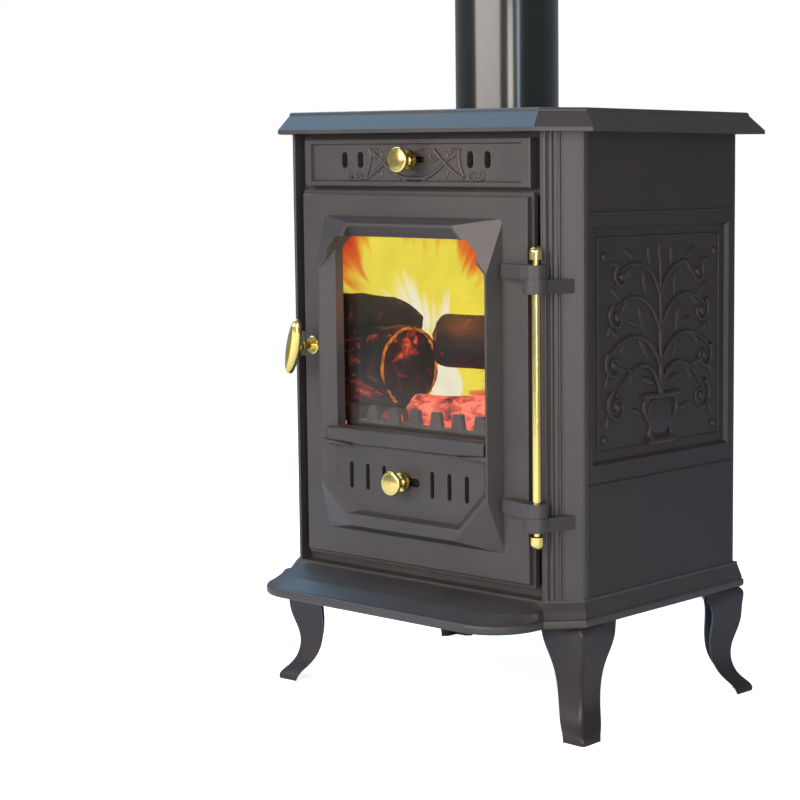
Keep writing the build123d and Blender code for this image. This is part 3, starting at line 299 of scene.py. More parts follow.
def ceramic_stove_glass(name):
    """Clear heat-proof glass: see-through, with a little gloss at grazing angles and a trace of soot."""
    material, output = new_material(name)
    soot = add_node(
        material, "ShaderNodeTexNoise", {"Scale": 1 / (60 * MM), "Detail": 3.0}, {"Vector": object_point(material)})
    tint = add_node(
        material, "ShaderNodeValToRGB",
        {"stops": [(0.3, (0.99, 0.98, 0.96, 1)), (0.8, (0.9, 0.88, 0.85, 1))]},
        {"Fac": soot.outputs["Fac"]}).outputs["Color"]
    clear = add_node(material, "ShaderNodeBsdfTransparent", links={"Color": tint})
    gloss = add_node(material, "ShaderNodeBsdfGlossy", {"Roughness": 0.05})
    edge = add_node(material, "ShaderNodeFresnel", {"IOR": 1.3})
    mixed = add_node(
        material, "ShaderNodeMixShader",
        links={0: edge.outputs["Fac"], 1: clear.outputs["BSDF"], 2: gloss.outputs["BSDF"]})
    join(material, mixed.outputs["Shader"], output)
    return material


def braided_rope(name):
    """Knitted glass-fibre rope and tape: dark and dull, with a diagonal weave."""
    material, output = new_material(name)
    weave = add_node(
        material, "ShaderNodeTexWave", {"Scale": 1 / (4 * MM), "Distortion": 1.5, "bands_direction": "DIAGONAL"},
        {"Vector": object_point(material)})
    tone = add_node(
        material, "ShaderNodeValToRGB",
        {"stops": [(0.2, linear("#24221f")), (0.8, linear("#5c5850"))]},
        {"Fac": weave.outputs["Fac"]}).outputs["Color"]
    bump = add_node(
        material, "ShaderNodeBump", {"Strength": 0.5, "Distance": 0.5 * MM}, {"Height": weave.outputs["Fac"]})
    shader = add_node(
        material, "ShaderNodeBsdfPrincipled", {"Roughness": 0.95},
        {"Base Color": tone, "Normal": bump.outputs["Normal"]})
    join(material, shader.outputs["BSDF"], output)
    return material


def burning_wood(name, ember, share, heat):
    """Charred log: black bark with flakes of red and ash-pink char that glow a little. More share, more is lit."""
    material, output = new_material(name)
    place = object_point(material, (0.6, 1, 1))
    flakes = add_node(
        material, "ShaderNodeTexNoise",
        {"Scale": 1 / (13 * MM), "Detail": 5.0, "Roughness": 0.62, "Distortion": 0.5},
        {"Vector": place})
    drift = add_node(
        material, "ShaderNodeTexNoise", {"Scale": 1 / (45 * MM), "Detail": 2.0}, {"Vector": place})
    lit = add_node(
        material, "ShaderNodeMath", {"operation": "MULTIPLY_ADD", 1: 0.5, 2: share - 0.25},
        {0: drift.outputs["Fac"]})
    both = add_node(
        material, "ShaderNodeMath", {"operation": "MULTIPLY_ADD", 1: 1.0},
        {0: flakes.outputs["Fac"], 2: lit.outputs["Value"]})
    bark = add_node(
        material, "ShaderNodeValToRGB",
        {"stops": [
            (0.50, linear("#110d0c")), (0.58, linear("#3a1a15")), (0.66, linear("#8e3a2c")),
            (0.78, linear("#cf8474"))]},
        {"Fac": both.outputs["Value"]}).outputs["Color"]
    glow = add_node(
        material, "ShaderNodeValToRGB",
        {"stops": [(0.54, (0, 0, 0, 1)), (0.64, shade(ember, 0.45)), (0.8, ember)]},
        {"Fac": both.outputs["Value"]}).outputs["Color"]
    bump = add_node(
        material, "ShaderNodeBump", {"Strength": 0.7, "Distance": 2 * MM}, {"Height": flakes.outputs["Fac"]})
    shader = add_node(
        material, "ShaderNodeBsdfPrincipled", {"Roughness": 0.85, "Emission Strength": heat},
        {"Base Color": bark, "Emission Color": glow, "Normal": bump.outputs["Normal"]})
    join(material, shader.outputs["BSDF"], output)
    return material


def glowing_embers(name, ember, edge):
    """Wood embers: lumps that glow orange-red, crusted with grey and black ash."""
    material, output = new_material(name)
    crust = add_node(
        material, "ShaderNodeTexNoise", {"Scale": 1 / (11 * MM), "Detail": 5.0, "Roughness": 0.7},
        {"Vector": object_point(material)})
    heat = add_node(
        material, "ShaderNodeValToRGB",
        {"stops": [(0.34, linear("#2a1410")), (0.46, ember), (0.58, edge), (0.72, linear("#ffe9a8"))]},
        {"Fac": crust.outputs["Fac"]}).outputs["Color"]
    shader = add_node(
        material, "ShaderNodeBsdfPrincipled", {"Roughness": 0.9, "Emission Strength": 0.9},
        {"Base Color": heat, "Emission Color": heat})
    join(material, shader.outputs["BSDF"], output)
    return material


def flame_glow(name, fire, heart, gap, reach):
    """Fire: streaks that fan out and rise from the heart, white there, then yellow, orange and red.

    heart is the hottest point, gap a second white-hot spot, and reach how far the heat of the heart goes.
    """
    material, output = new_material(name)
    place = add_node(material, "ShaderNodeTexCoord").outputs["Object"]
    offset = add_node(material, "ShaderNodeVectorMath", {"operation": "SUBTRACT", 1: heart}, {0: place})
    parts = add_node(material, "ShaderNodeSeparateXYZ", links={"Vector": offset.outputs["Vector"]})
    across = add_node(
        material, "ShaderNodeMath", {"operation": "MULTIPLY_ADD", 1: 0.8},
        {0: parts.outputs["Y"], 2: parts.outputs["X"]})
    root = add_node(material, "ShaderNodeMath", {"operation": "ADD", 1: 90 * MM}, {0: parts.outputs["Z"]})
    angle = add_node(
        material, "ShaderNodeMath", {"operation": "ARCTAN2"},
        {0: across.outputs["Value"], 1: root.outputs["Value"]})
    flat = add_node(
        material, "ShaderNodeCombineXYZ", links={"X": across.outputs["Value"], "Y": parts.outputs["Z"]})
    away = add_node(
        material, "ShaderNodeVectorMath", {"operation": "LENGTH"}, {0: flat.outputs["Vector"]}).outputs["Value"]
    fan = add_node(material, "ShaderNodeCombineXYZ", links={"X": angle.outputs["Value"], "Y": away})
    streaks = add_node(
        material, "ShaderNodeTexNoise", {"Scale": 5.0, "Detail": 3.0, "Roughness": 0.55, "Distortion": 0.7},
        {"Vector": fan.outputs["Vector"]})
    near = add_node(
        material, "ShaderNodeMapRange", {"From Min": 0.0, "From Max": reach, "To Min": 0.78, "To Max": -0.1},
        {"Value": away})
    heat = add_node(
        material, "ShaderNodeMath", {"operation": "MULTIPLY_ADD", 1: 0.95},
        {0: streaks.outputs["Fac"], 2: near.outputs["Result"]})
    gap_away = add_node(
        material, "ShaderNodeVectorMath", {"operation": "DISTANCE", 1: gap}, {0: place}).outputs["Value"]
    gap_heat = add_node(
        material, "ShaderNodeMapRange", {"From Min": 20 * MM, "From Max": 60 * MM, "To Min": 1.4, "To Max": 0.0},
        {"Value": gap_away})
    hottest = add_node(
        material, "ShaderNodeMath", {"operation": "MAXIMUM"},
        {0: heat.outputs["Value"], 1: gap_heat.outputs["Result"]})
    level = add_node(
        material, "ShaderNodeMath", {"operation": "MULTIPLY", 1: 0.75}, {0: hottest.outputs["Value"]})
    colour = add_node(
        material, "ShaderNodeValToRGB",
        {"stops": [
            (0.22, shade(fire.ember, 0.3)), (0.36, fire.ember), (0.47, fire.edge), (0.56, fire.flame),
            (0.76, fire.flame), (0.9, fire.core)]},
        {"Fac": level.outputs["Value"]}).outputs["Color"]
    light = add_node(material, "ShaderNodeEmission", {"Strength": 1.0}, {"Color": colour})
    join(material, light.outputs["Emission"], output)
    return material


def plain_glow(name, colour, strength):
    """Wood that glows evenly along a burning edge."""
    material, output = new_material(name)
    flicker = add_node(
        material, "ShaderNodeTexNoise", {"Scale": 1 / (14 * MM), "Detail": 2.0}, {"Vector": object_point(material)})
    tone = add_node(
        material, "ShaderNodeValToRGB",
        {"stops": [(0.35, shade(colour, 0.25)), (0.6, colour)]},
        {"Fac": flicker.outputs["Fac"]}).outputs["Color"]
    light = add_node(material, "ShaderNodeEmission", {"Strength": strength}, {"Color": tone})
    join(material, light.outputs["Emission"], output)
    return material


def paint(material, *names):
    """Gives CAD nodes one finish."""
    for name in names:
        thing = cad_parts[name]
        thing.data.materials.clear()
        thing.data.materials.append(material)


def only(thing):
    """Selects one object alone and makes it active."""
    bpy.ops.object.select_all(action="DESELECT")
    thing.select_set(True)
    bpy.context.view_layer.objects.active = thing


def fix_place(thing):
    """Puts an object's place, turn and scale into its mesh."""
    only(thing)
    bpy.ops.object.transform_apply(location=True, rotation=True, scale=True)


def face_outwards(thing):
    """Turns all faces of closed shapes outwards."""
    only(thing)
    bpy.ops.object.mode_set(mode="EDIT")
    bpy.ops.mesh.select_all(action="SELECT")
    bpy.ops.mesh.normals_make_consistent(inside=False)
    bpy.ops.object.mode_set(mode="OBJECT")


def in_mm(*points):
    """Points in millimetres as metres."""
    return [(across * MM, up * MM) for across, up in points]


def settle(thing, name, material):
    """Fixes a finished piece's place, names it, paints it and lets it ride on the stove."""
    fix_place(thing)
    thing.name = name
    thing.data.name = name
    thing.data.materials.clear()
    thing.data.materials.append(material)
    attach(thing, "stove")
    return thing


def gather(things):
    """Joins several shapes into one object."""
    bpy.ops.object.select_all(action="DESELECT")
    for thing in things:
        thing.select_set(True)
    bpy.context.view_layer.objects.active = things[0]
    bpy.ops.object.join()
    return bpy.context.object


def stem(points, radius, taper=0.45):
    """A round rod along a smooth line through (across, up) points, thinner towards its end, on the plane z = 0."""
    bpy.ops.object.select_all(action="DESELECT")
    bpy.ops.curve.primitive_nurbs_path_add(location=(0, 0, 0))
    rod = bpy.context.object
    curve = rod.data
    curve.splines.clear()
    spline = curve.splines.new("NURBS")
    spline.points.add(len(points) - 1)
    for number, (point, (across, up)) in enumerate(zip(spline.points, points)):
        point.co = (across, up, 0, 1)
        point.radius = 1 - (1 - taper) * number / (len(points) - 1)
    spline.order_u = 4
    spline.use_endpoint_u = True
    spline.resolution_u = 6
    curve.dimensions = "3D"
    curve.bevel_depth = radius
    curve.bevel_resolution = 3
    curve.use_fill_caps = True
    bpy.ops.object.convert(target="MESH")
    rod = bpy.context.object
    fix_place(rod)
    bpy.ops.object.shade_smooth()
    return rod


def spiral(centre, radius, start, turns, direction, steps=14):
    """Points of a scroll that winds inwards from radius about centre."""
    points = []
    for step in range(steps + 1):
        share = step / steps
        angle = start + direction * share * turns * tau
        reach = radius * (1 - 0.82 * share)
        points.append((centre[0] + reach * cos(angle), centre[1] + reach * sin(angle)))
    return points


def leaf(place, angle, length, width, height):
    """A pointed leaf with a rounded back, lying along angle on the plane z = 0."""
    bpy.ops.object.select_all(action="DESELECT")
    bpy.ops.mesh.primitive_uv_sphere_add(segments=16, ring_count=12, radius=1, location=(0, 0, 0))
    blade = bpy.context.object
    for vertex in blade.data.vertices:
        along = (vertex.co.z + 1) / 2
        pinch = 1.25 * (along ** 0.6) * ((1 - along) ** 0.35 + 0.02)
        side = vertex.co.x * pinch
        rise = vertex.co.y * pinch * (1 - 0.35 * abs(vertex.co.x) ** 0.5)
        vertex.co = (along * length, side * width / 2, rise * height)
    blade.matrix_world = Matrix.Translation((place[0], place[1], 0)) @ Matrix.Rotation(angle, 4, "Z")
    fix_place(blade)
    bpy.ops.object.shade_smooth()
    return blade


def boss(place, radius, height):
    """A low round button on the plane z = 0."""
    bpy.ops.object.select_all(action="DESELECT")
    bpy.ops.mesh.primitive_uv_sphere_add(
        segments=20, ring_count=10, radius=radius, location=(place[0], place[1], 0))
    button = bpy.context.object
    button.scale = (1, 1, height / radius)
    fix_place(button)
    bpy.ops.object.shade_smooth()
    return button


def mirrored(things):
    """The shapes and their copies mirrored across the line across = 0."""
    copies = []
    for thing in things:
        only(thing)
        bpy.ops.object.duplicate()
        copy = bpy.context.object
        copy.scale = (-1, 1, 1)
        fix_place(copy)
        face_outwards(copy)
        copies.append(copy)
    return things + copies


def lay_on(things, matrix):
    """Moves flat shapes from the plane z = 0 to their place on the stove."""
    for thing in things:
        thing.matrix_world = matrix
        fix_place(thing)
    return things


class STOVE_OT_finishes(bpy.types.Operator):
    """Paint the castings, polish the brass and finish every other piece of the frame."""
    bl_idname = "stove.finishes"
    bl_label = "Finishes"

    def execute(self, context):
        finish = context.scene.stove_finish
        iron = stove_painted_iron("stove_paint_front", finish.iron, finish.grit, 0.42)
        # The side panels get a darker copy of the front paint: painted shade, since they face away from the light.
        side = stove_painted_iron("stove_paint_side_painted_shade", finish.side_iron_painted_shade, finish.grit, 0.5)
        # The legs, and the firebox floor, grate and baffle, get a still darker copy of the front paint: painted
        # shade.
        legs = stove_painted_iron("stove_paint_legs_painted_shade", finish.leg_iron_painted_shade, finish.grit, 0.4)
        brass = polished_brass("polished_brass", finish.brass)
        steel = blackened_steel("blackened_steel")
        paint(iron, "top_plate", "base_plate", "front_frame", "right_pilaster", "left_pilaster")
        paint(iron, "upper_vent_panel", "door", "flue_collar", "log_fence")
        paint(side, "right_side_panel", "left_side_panel", "back_panel", "rear_blanking_plate")
        paint(legs, "front_left_leg", "front_right_leg", "rear_left_leg", "rear_right_leg")
        paint(legs, "firebox_floor", "grate", "baffle_plate")
        paint(brass, "upper_vent_knob", "lower_vent_knob", "door_handle", "handle_escutcheon", "hinge_rod")
        paint(brass, "upper_finial", "lower_finial")
        paint(steel, "collar_screws", "blanking_plate_bolts", "clip_screws", "tie_rods", "leg_bolts", "latch_cam")
        paint(steel, "glass_clips", "lower_vent_guides", "upper_vent_slider", "lower_vent_slider", "ash_shelf")
        paint(steel, "ash_pan")
        paint(fired_brick("fired_brick"), "right_liner", "left_liner", "rear_liner")
        paint(enamelled_steel("enamelled_pipe", finish.enamel), "flue_pipe")
        paint(ceramic_stove_glass("ceramic_stove_glass"), "door_glass")
        paint(braided_rope("braided_rope"), "glass_gasket", "door_rope_seal")
        return {"FINISHED"}


class STOVE_OT_vent_scrolls(bpy.types.Operator):
    """Cast scrollwork on the vent panel, either side of the knob."""
    bl_idname = "stove.vent_scrolls"
    bl_label = "Vent scrolls"

    def execute(self, context):
        radius = context.scene.stove_ornament.scroll
        recess_depth = 4 * MM
        scroll_drop = 1 * MM
        low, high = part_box("upper_vent_panel")
        recess_floor = low[1] + recess_depth
        middle = (low[2] + high[2]) / 2 - scroll_drop
        half = [
            stem(in_mm((0, -17), (16, -18), (32, -12), (46, -2), (60, 9), (71, 15)), radius, 0.7),
            stem(in_mm((33, 15), (42, 6), (54, -4), (68, -13), (80, -18)), radius, 0.7),
            stem(in_mm((73, 17), (69, 7), (73, -4), (79, -15)), radius, 0.8),
        ]
        for across, up, size, start, turns, direction, share in (
                (92, -14, 7, 180, 1.1, 1, 0.85), (106, -13, 6.5, 220, 1.0, 1, 0.8),
                (62, 13, 6, 250, 1.0, 1, 0.8), (31, 9, 7, -20, 1.0, -1, 0.8)):
            curl = spiral((across * MM, up * MM), size * MM, radians(start), turns, direction)
            half.append(stem(curl, radius * share))
        for across, up, turn, length, width, share in (
                (26, -13, 212, 20, 9, 1.1), (54, -1, 95, 16, 8, 1.1), (55, -5, 255, 13, 8, 1.1),
                (42, 6, 170, 12, 7, 1.0), (68, 5, 80, 13, 7, 1.0), (80, -14, 300, 9, 7, 1.0),
                (9, 14, 30, 15, 7, 1.0)):
            half.append(leaf((across * MM, up * MM), radians(turn), length * MM, width * MM, radius * share))
        half.append(boss((99 * MM, -19 * MM), 2.8 * MM, radius))
        shapes = mirrored(half)
        shapes.append(leaf((0, -13 * MM), radians(270), 9 * MM, 8 * MM, radius * 1.3))
        place = Matrix.Translation((0, recess_floor, middle)) @ Matrix.Rotation(radians(90), 4, "X")
        scrolls = gather(lay_on(shapes, place))
        settle(scrolls, "vent_scrolls", bpy.data.materials["stove_paint_front"])
        return {"FINISHED"}


class STOVE_OT_side_relief(bpy.types.Operator):
    """A branching plant in an urn, cast in relief in the recess of each side panel."""
    bl_idname = "stove.side_relief"
    bl_label = "Side relief"

    def execute(self, context):
        ornament = context.scene.stove_ornament
        thick = ornament.stem
        half = []
        for branch, curl, size, start, turns, girth, tip in (
                (((0, -60), (12, -30), (40, -22), (66, -40), (84, -62)), (80, -72), 20, 70, 1.3, 1.0, 0.8),
                (((0, -30), (18, 0), (48, 12), (78, 2), (96, -14)), (86, -24), 17, 50, 1.2, 1.0, 0.8),
                (((0, 10), (14, 40), (40, 56), (68, 52), (88, 36)), (80, 30), 16, 60, 1.2, 0.9, 0.75),
                (((0, 50), (10, 76), (32, 92), (60, 92), (80, 80)), (72, 76), 14, 60, 1.1, 0.85, 0.7)):
            half.append(stem(in_mm(*branch), thick * girth))
            winding = spiral((curl[0] * MM, curl[1] * MM), size * MM, radians(start), turns, -1)
            half.append(stem(winding, thick * tip, 0.5))
        for reach, up, turn, length in (
                (22, -24, 60, 30), (44, -24, -60, 26), (60, -34, 20, 26), (30, 8, 75, 30), (56, 12, -50, 26),
                (74, 4, 35, 24), (26, 50, 80, 28), (52, 56, -45, 24), (72, 48, 40, 22), (20, 84, 85, 24),
                (46, 94, 30, 22), (48, 92, -50, 22), (8, -52, 20, 26), (70, 88, 10, 20), (88, 26, -60, 18),
                (94, -30, -70, 20), (96, -78, -80, 18), (58, -76, 200, 20), (64, -30, 200, 18), (60, 26, 205, 18)):
            half.append(leaf(
                (reach * MM, up * MM), radians(turn), length * 1.15 * MM, length * 0.55 * MM,
                ornament.relief * 0.9))
        for reach, up, size in (
                (80, -72, 6), (86, -24, 5.5), (80, 30, 5.5), (72, 76, 5), (104, 100, 5), (104, -108, 5)):
            half.append(boss((reach * MM, up * MM), size * MM, ornament.relief * 0.8))
        urn_side = in_mm((14, -116), (26, -112), (12, -102), (30, -88), (34, -74), (24, -66))
        half.append(stem(urn_side, thick * 0.9, 0.9))
        shapes = mirrored(half)
        shapes.append(stem(in_mm((0, -64), (0, -20), (0, 30), (0, 70), (0, 96)), thick * 1.1))
        shapes.append(leaf((0, 84 * MM), radians(90), 32 * MM, 16 * MM, ornament.relief * 0.9))
        shapes.append(boss((0, -88 * MM), 24 * MM, ornament.relief * 0.8))
        shapes.append(stem(in_mm((-34, -64), (0, -66), (34, -64)), thick, 1.0))
        shapes.append(stem(in_mm((-26, -118), (0, -119), (26, -118)), thick * 1.2, 1.0))
        border = 1.6 * MM
        width = 114 * MM
        tall = 121 * MM
        for side in (-1, 1):
            shapes.append(stem([(side * width, -tall), (side * width, 0), (side * width, tall)], border, 1.0))
            shapes.append(stem([(-width, side * tall), (0, side * tall), (width, side * tall)], border, 1.0))
        pattern = gather(shapes)
        recess_floor = 227 * MM
        recess_middle = (42.5 * MM, 445.5 * MM)
        middle = Vector((recess_floor, *recess_middle))
        upright = Matrix(((0, 0, 1, 0), (1, 0, 0, 0), (0, 1, 0, 0), (0, 0, 0, 1)))
        # The relief is cast with the side panels, so it takes their painted shade too.
        material = bpy.data.materials["stove_paint_side_painted_shade"]
        for side, name in ((1, "right_relief"), (-1, "left_relief")):
            only(pattern)
            bpy.ops.object.duplicate()
            copy = bpy.context.object
            copy.matrix_world = Matrix.Scale(side, 4, (1, 0, 0)) @ Matrix.Translation(middle) @ upright
            settle(copy, name, material)
            face_outwards(copy)
        bpy.data.objects.remove(pattern)
        return {"FINISHED"}


def roughen(thing, name, grain, depth, strength):
    """Pushes a surface in and out by a cloud pattern."""
    cloud = bpy.data.textures.new(name, "CLOUDS")
    cloud.noise_scale = grain
    cloud.noise_depth = depth
    push = thing.modifiers.new(name, "DISPLACE")
    push.texture = cloud
    push.texture_coords = "LOCAL"
    push.strength = strength
    push.mid_level = 0.5
    bpy.ops.object.modifier_apply(modifier=name)


def rough_log(name, ends, radius, roughness, turn):
    """A rough round log between two points: a cylinder, subdivided and pushed in and out by its bark."""
    start, end = Vector(ends[0]), Vector(ends[1])
    length = (end - start).length
    bpy.ops.object.select_all(action="DESELECT")
    bpy.ops.mesh.primitive_cylinder_add(vertices=28, radius=radius, depth=length, end_fill_type="TRIFAN")
    log = bpy.context.object
    bpy.ops.object.mode_set(mode="EDIT")
    bpy.ops.mesh.select_all(action="SELECT")
    bpy.ops.mesh.subdivide(number_cuts=5)
    bpy.ops.object.mode_set(mode="OBJECT")
    roughen(log, name + "_bark", 22 * MM, 3, roughness)
    lie = (end - start).to_track_quat("Z", "Y").to_matrix().to_4x4()
    log.matrix_world = Matrix.Translation((start + end) / 2) @ lie @ Matrix.Rotation(turn, 4, "Z")
    bpy.ops.object.shade_smooth()
    return log


class STOVE_OT_logs(bpy.types.Operator):
    """The burning logs behind the log fence."""
    bl_idname = "stove.logs"
    bl_label = "Logs"

    def execute(self, context):
        fire = context.scene.stove_fire
        charred = burning_wood("charred_wood", fire.ember, -0.01, 0.4)
        dark = burning_wood("smouldering_wood", fire.ember, -0.07, 0.25)
        hot = burning_wood("burning_wood", fire.ember, 0.22, 0.9)
        bark_height = 7 * MM
        for name, material, ends, radius, turn in (
                ("front_log", charred, ((-0.196, -0.056, 0.396), (-0.086, -0.056, 0.402)), 0.050, 0.4),
                ("right_log", dark, ((-0.060, -0.012, 0.432), (0.185, 0.0, 0.436)), 0.033, 1.7),
                ("low_log", hot, ((-0.052, -0.070, 0.348), (0.180, -0.064, 0.356)), 0.024, 2.6),
                ("left_log", dark, ((-0.176, -0.094, 0.466), (-0.168, 0.03, 0.452)), 0.026, 0.9),
                ("rear_log", charred, ((-0.190, -0.050, 0.336), (-0.02, -0.052, 0.336)), 0.024, 2.2)):
            settle(rough_log(name, ends, radius, bark_height, turn), name, material)
        bpy.ops.object.select_all(action="DESELECT")
        bpy.ops.mesh.primitive_torus_add(
            major_radius=47 * MM, minor_radius=1.7 * MM, major_segments=56, minor_segments=8,
            location=(-0.0855, -0.056, 0.402), rotation=(0, radians(90), 0))
        rim = bpy.context.object
        long_wave = 0.02
        short_wave = 0.015
        for number, vertex in enumerate(rim.data.vertices):
            vertex.co *= 1 + long_wave * sin(number * 0.37) + short_wave * sin(number * 0.11)
        bpy.ops.object.shade_smooth()
        settle(rim, "glowing_rim", plain_glow("glowing_rim", fire.edge, 0.9))
        return {"FINISHED"}


class STOVE_OT_embers(bpy.types.Operator):
    """The bed of embers on the firebox floor."""
    bl_idname = "stove.embers"
    bl_label = "Embers"

    def execute(self, context):
        fire = context.scene.stove_fire
        material = glowing_embers("glowing_embers", fire.ember, fire.edge)
        bpy.ops.object.select_all(action="DESELECT")
        bpy.ops.mesh.primitive_grid_add(x_subdivisions=90, y_subdivisions=60, size=1, location=(0, 0.022, 0.328))
        bed = bpy.context.object
        bed.scale = (0.39, 0.262, 1)
        bpy.ops.object.transform_apply(location=False, rotation=False, scale=True)
        roughen(bed, "ember_bed", 24 * MM, 4, 34 * MM)
        bpy.ops.object.shade_smooth()
        settle(bed, "ember_bed", material)
        lump_count = 46
        golden_turn = 2.399963
        half_width = 0.175
        half_depth = 0.112
        middle_depth = 0.02
        lump_level = 0.338
        lumps = []
        for number in range(lump_count):
            turn = number * golden_turn
            reach = ((number + 0.5) / lump_count) ** 0.5
            across = half_width * cos(turn) * reach
            deep = middle_depth + half_depth * sin(turn) * reach
            size = (7 + 6 * (0.5 + 0.5 * sin(number * 5.1))) * MM
            bpy.ops.object.select_all(action="DESELECT")
            bpy.ops.mesh.primitive_ico_sphere_add(subdivisions=2, radius=size, location=(across, deep, lump_level))
            lump = bpy.context.object
            lump.scale = (1.3, 0.9, 0.7)
            lump.rotation_euler = (number * 0.7, number * 1.3, number * 2.1)
            lumps.append(lump)
        settle(gather(lumps), "ember_lumps", material)
        return {"FINISHED"}


class STOVE_OT_flames(bpy.types.Operator):
    """The flames: a sheet of fire behind the logs that rises round the baffle's front edge."""
    bl_idname = "stove.flames"
    bl_label = "Flames"

    def execute(self, context):
        fire = context.scene.stove_fire
        heart = (-0.125, 0.012, 0.452)
        gap_between_logs = (-0.108, 0.028, 0.371)
        material = flame_glow("flames", fire, heart, gap_between_logs, 0.19)
        bpy.ops.object.select_all(action="DESELECT")
        bpy.ops.mesh.primitive_grid_add(x_subdivisions=72, y_subdivisions=48, size=1, location=(0, 0, 0))
        sheet = bpy.context.object
        foot = 0.312
        top = 0.60
        length = 0.54
        wall_length = 0.14
        wall_x = -0.193
        wall_front = -0.105
        corner_bend = 0.02
        back_x = wall_x + corner_bend
        back_y = 0.032
        back_stretch = 0.915
        lean_from = 0.44
        lean_height = 0.09
        lean_back = 0.034
        lean_reach = 0.082
        for vertex in sheet.data.vertices:
            along = (vertex.co.x + 0.5) * length
            height = foot + (vertex.co.y + 0.5) * (top - foot)
            if along < wall_length:
                across = wall_x + corner_bend * (along / wall_length) ** 4
                deep = wall_front + along
            else:
                across = back_x + (along - wall_length) * back_stretch
                deep = back_y
            lean = min(1, max(0, (height - lean_from) / lean_height))
            front = lean_back - lean_reach * lean * lean * (3 - 2 * lean)
            vertex.co = (across, min(deep, front), height)
        face_outwards(sheet)
        bpy.ops.object.shade_smooth()
        settle(sheet, "flames", material)
        return {"FINISHED"}


def area_light(name, place, target, size, power, colour):
    """A rectangular soft light aimed at a point."""
    data = bpy.data.lights.new(name, "AREA")
    data.shape = "RECTANGLE"
    data.size, data.size_y = size
    data.energy = power
    data.color = linear(colour)[:3]
    lamp = bpy.data.objects.new(name, data)
    lamp.location = place
    lamp.rotation_euler = (Vector(target) - Vector(place)).to_track_quat("-Z", "Y").to_euler()
    bpy.context.scene.collection.objects.link(lamp)
    return lamp


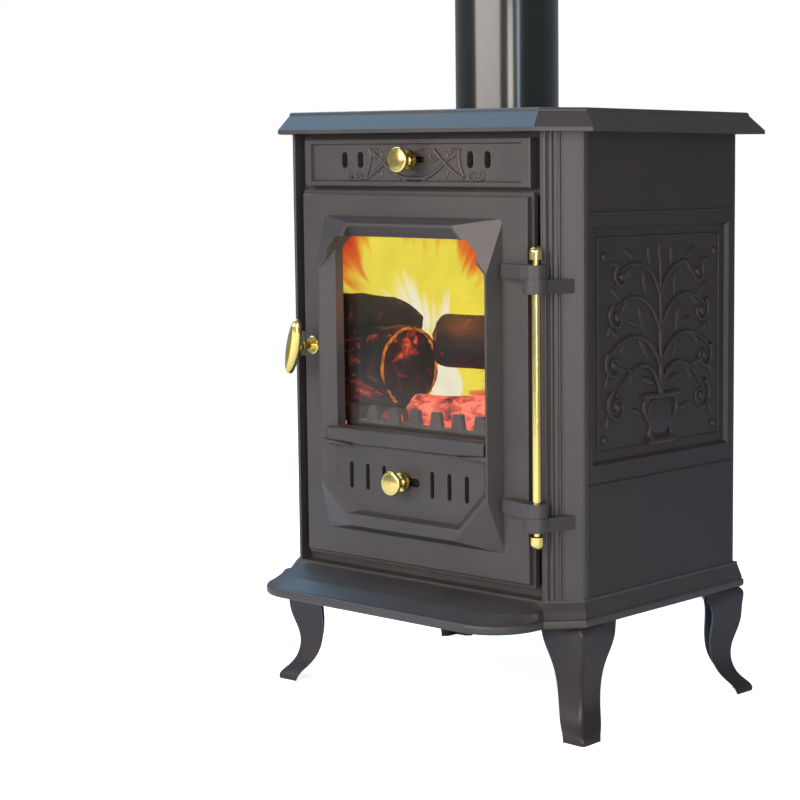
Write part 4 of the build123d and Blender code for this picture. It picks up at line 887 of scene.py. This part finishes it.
class STOVE_OT_studio(bpy.types.Operator):
    """The pale floor, the soft lights, the firelight and the photograph's camera."""
    bl_idname = "stove.studio"
    bl_label = "Studio"

    def execute(self, context):
        scene = context.scene
        studio = scene.stove_studio
        scene.view_settings.view_transform = "Standard"
        bpy.ops.object.select_all(action="DESELECT")
        bpy.ops.mesh.primitive_plane_add(size=30, location=(0, 0, 0))
        floor = bpy.context.object
        floor.name = "studio_floor"
        material, output = new_material("pale_floor")
        path = add_node(material, "ShaderNodeLightPath")
        white = add_node(material, "ShaderNodeBsdfDiffuse", {"Color": (0.9, 0.9, 0.9, 1)})
        bright = add_node(material, "ShaderNodeEmission", {"Color": (1, 1, 1, 1), "Strength": 0.8})
        both = add_node(
            material, "ShaderNodeAddShader", links={0: white.outputs["BSDF"], 1: bright.outputs["Emission"]})
        seen = add_node(
            material, "ShaderNodeMixShader",
            links={0: path.outputs["Is Camera Ray"], 1: white.outputs["BSDF"], 2: both.outputs["Shader"]})
        join(material, seen.outputs["Shader"], output)
        floor.data.materials.append(material)

        world = bpy.data.worlds.new("studio")
        scene.world = world
        world.use_nodes = True
        world.node_tree.nodes.clear()
        path = add_node(world, "ShaderNodeLightPath")
        soft = add_node(
            world, "ShaderNodeBackground", {"Color": linear("#c9d2dc"), "Strength": studio.ambient})
        plain = add_node(world, "ShaderNodeBackground", {"Color": (1, 1, 1, 1)})
        mix = add_node(
            world, "ShaderNodeMixShader",
            links={0: path.outputs["Is Camera Ray"], 1: soft.outputs["Background"], 2: plain.outputs["Background"]})
        add_node(world, "ShaderNodeOutputWorld", links={"Surface": mix.outputs["Shader"]})

        area_light("front_light", (-0.1, -2.7, 1.4), (0, 0, 0.45), (3.2, 1.5), studio.key, "#fff6ee")
        area_light("corner_light", (2.0, -1.7, 0.6), (0.2, -0.1, 0.45), (0.5, 0.9), studio.fill, "#fff4ee")
        area_light("strip_light", (2.4, -1.0, 1.5), (0, 0.03, 0.6), (0.3, 1.6), 0.8 * studio.fill, "#d5e4f2")
        area_light("sky_light", (-1.5, 0.2, 2.5), (0, 0, 0.5), (2.2, 2.2), studio.sky, "#7fb8e0")
        glow = bpy.data.lights.new("fire_glow", "POINT")
        glow.energy = scene.stove_fire.glow
        glow.color = linear("#ff8a3a")[:3]
        glow.shadow_soft_size = 0.03
        lamp = bpy.data.objects.new("fire_glow", glow)
        lamp.location = (-0.02, -0.05, 0.47)
        scene.collection.objects.link(lamp)

        frame_width = 800
        data = bpy.data.cameras.new("camera")
        data.lens = studio.lens
        data.sensor_width = 36
        data.shift_x = -225.101 / frame_width
        data.shift_y = -7.085 / frame_width
        data.clip_end = 50
        camera = bpy.data.objects.new("camera", data)
        camera.location = (1.69872, -1.85217, 0.64975)
        camera.rotation_euler = Vector((-0.62294, 0.77441, -0.11063)).to_track_quat("-Z", "Y").to_euler()
        scene.collection.objects.link(camera)
        scene.camera = camera
        return {"FINISHED"}


class STOVE_PT_panel(bpy.types.Panel):
    """Lists the stove's pieces in the sidebar."""
    bl_label = "Cookstove"
    bl_space_type = "VIEW_3D"
    bl_region_type = "UI"
    bl_category = "Cookstove"

    def draw(self, context):
        for operator in operators:
            self.layout.operator(operator.bl_idname)


settings = (
    ("stove_finish", FinishSettings), ("stove_ornament", OrnamentSettings), ("stove_fire", FireSettings),
    ("stove_studio", StudioSettings),
)
operators = (
    STOVE_OT_finishes, STOVE_OT_vent_scrolls, STOVE_OT_side_relief, STOVE_OT_logs, STOVE_OT_embers,
    STOVE_OT_flames, STOVE_OT_studio,
)


def register():
    """Registers the settings, the operators and the panel."""
    for name, group in settings:
        bpy.utils.register_class(group)
        setattr(bpy.types.Scene, name, bpy.props.PointerProperty(type=group))
    for operator in operators:
        bpy.utils.register_class(operator)
    bpy.utils.register_class(STOVE_PT_panel)


def unregister():
    """Takes everything away again."""
    bpy.utils.unregister_class(STOVE_PT_panel)
    for operator in reversed(operators):
        bpy.utils.unregister_class(operator)
    for name, group in reversed(settings):
        delattr(bpy.types.Scene, name)
        bpy.utils.unregister_class(group)


def main():
    """Builds every piece in order."""
    register()
    bpy.ops.stove.finishes()
    bpy.ops.stove.vent_scrolls()
    bpy.ops.stove.side_relief()
    bpy.ops.stove.logs()
    bpy.ops.stove.embers()
    bpy.ops.stove.flames()
    bpy.ops.stove.studio()


if __name__ == "__main__":
    main()
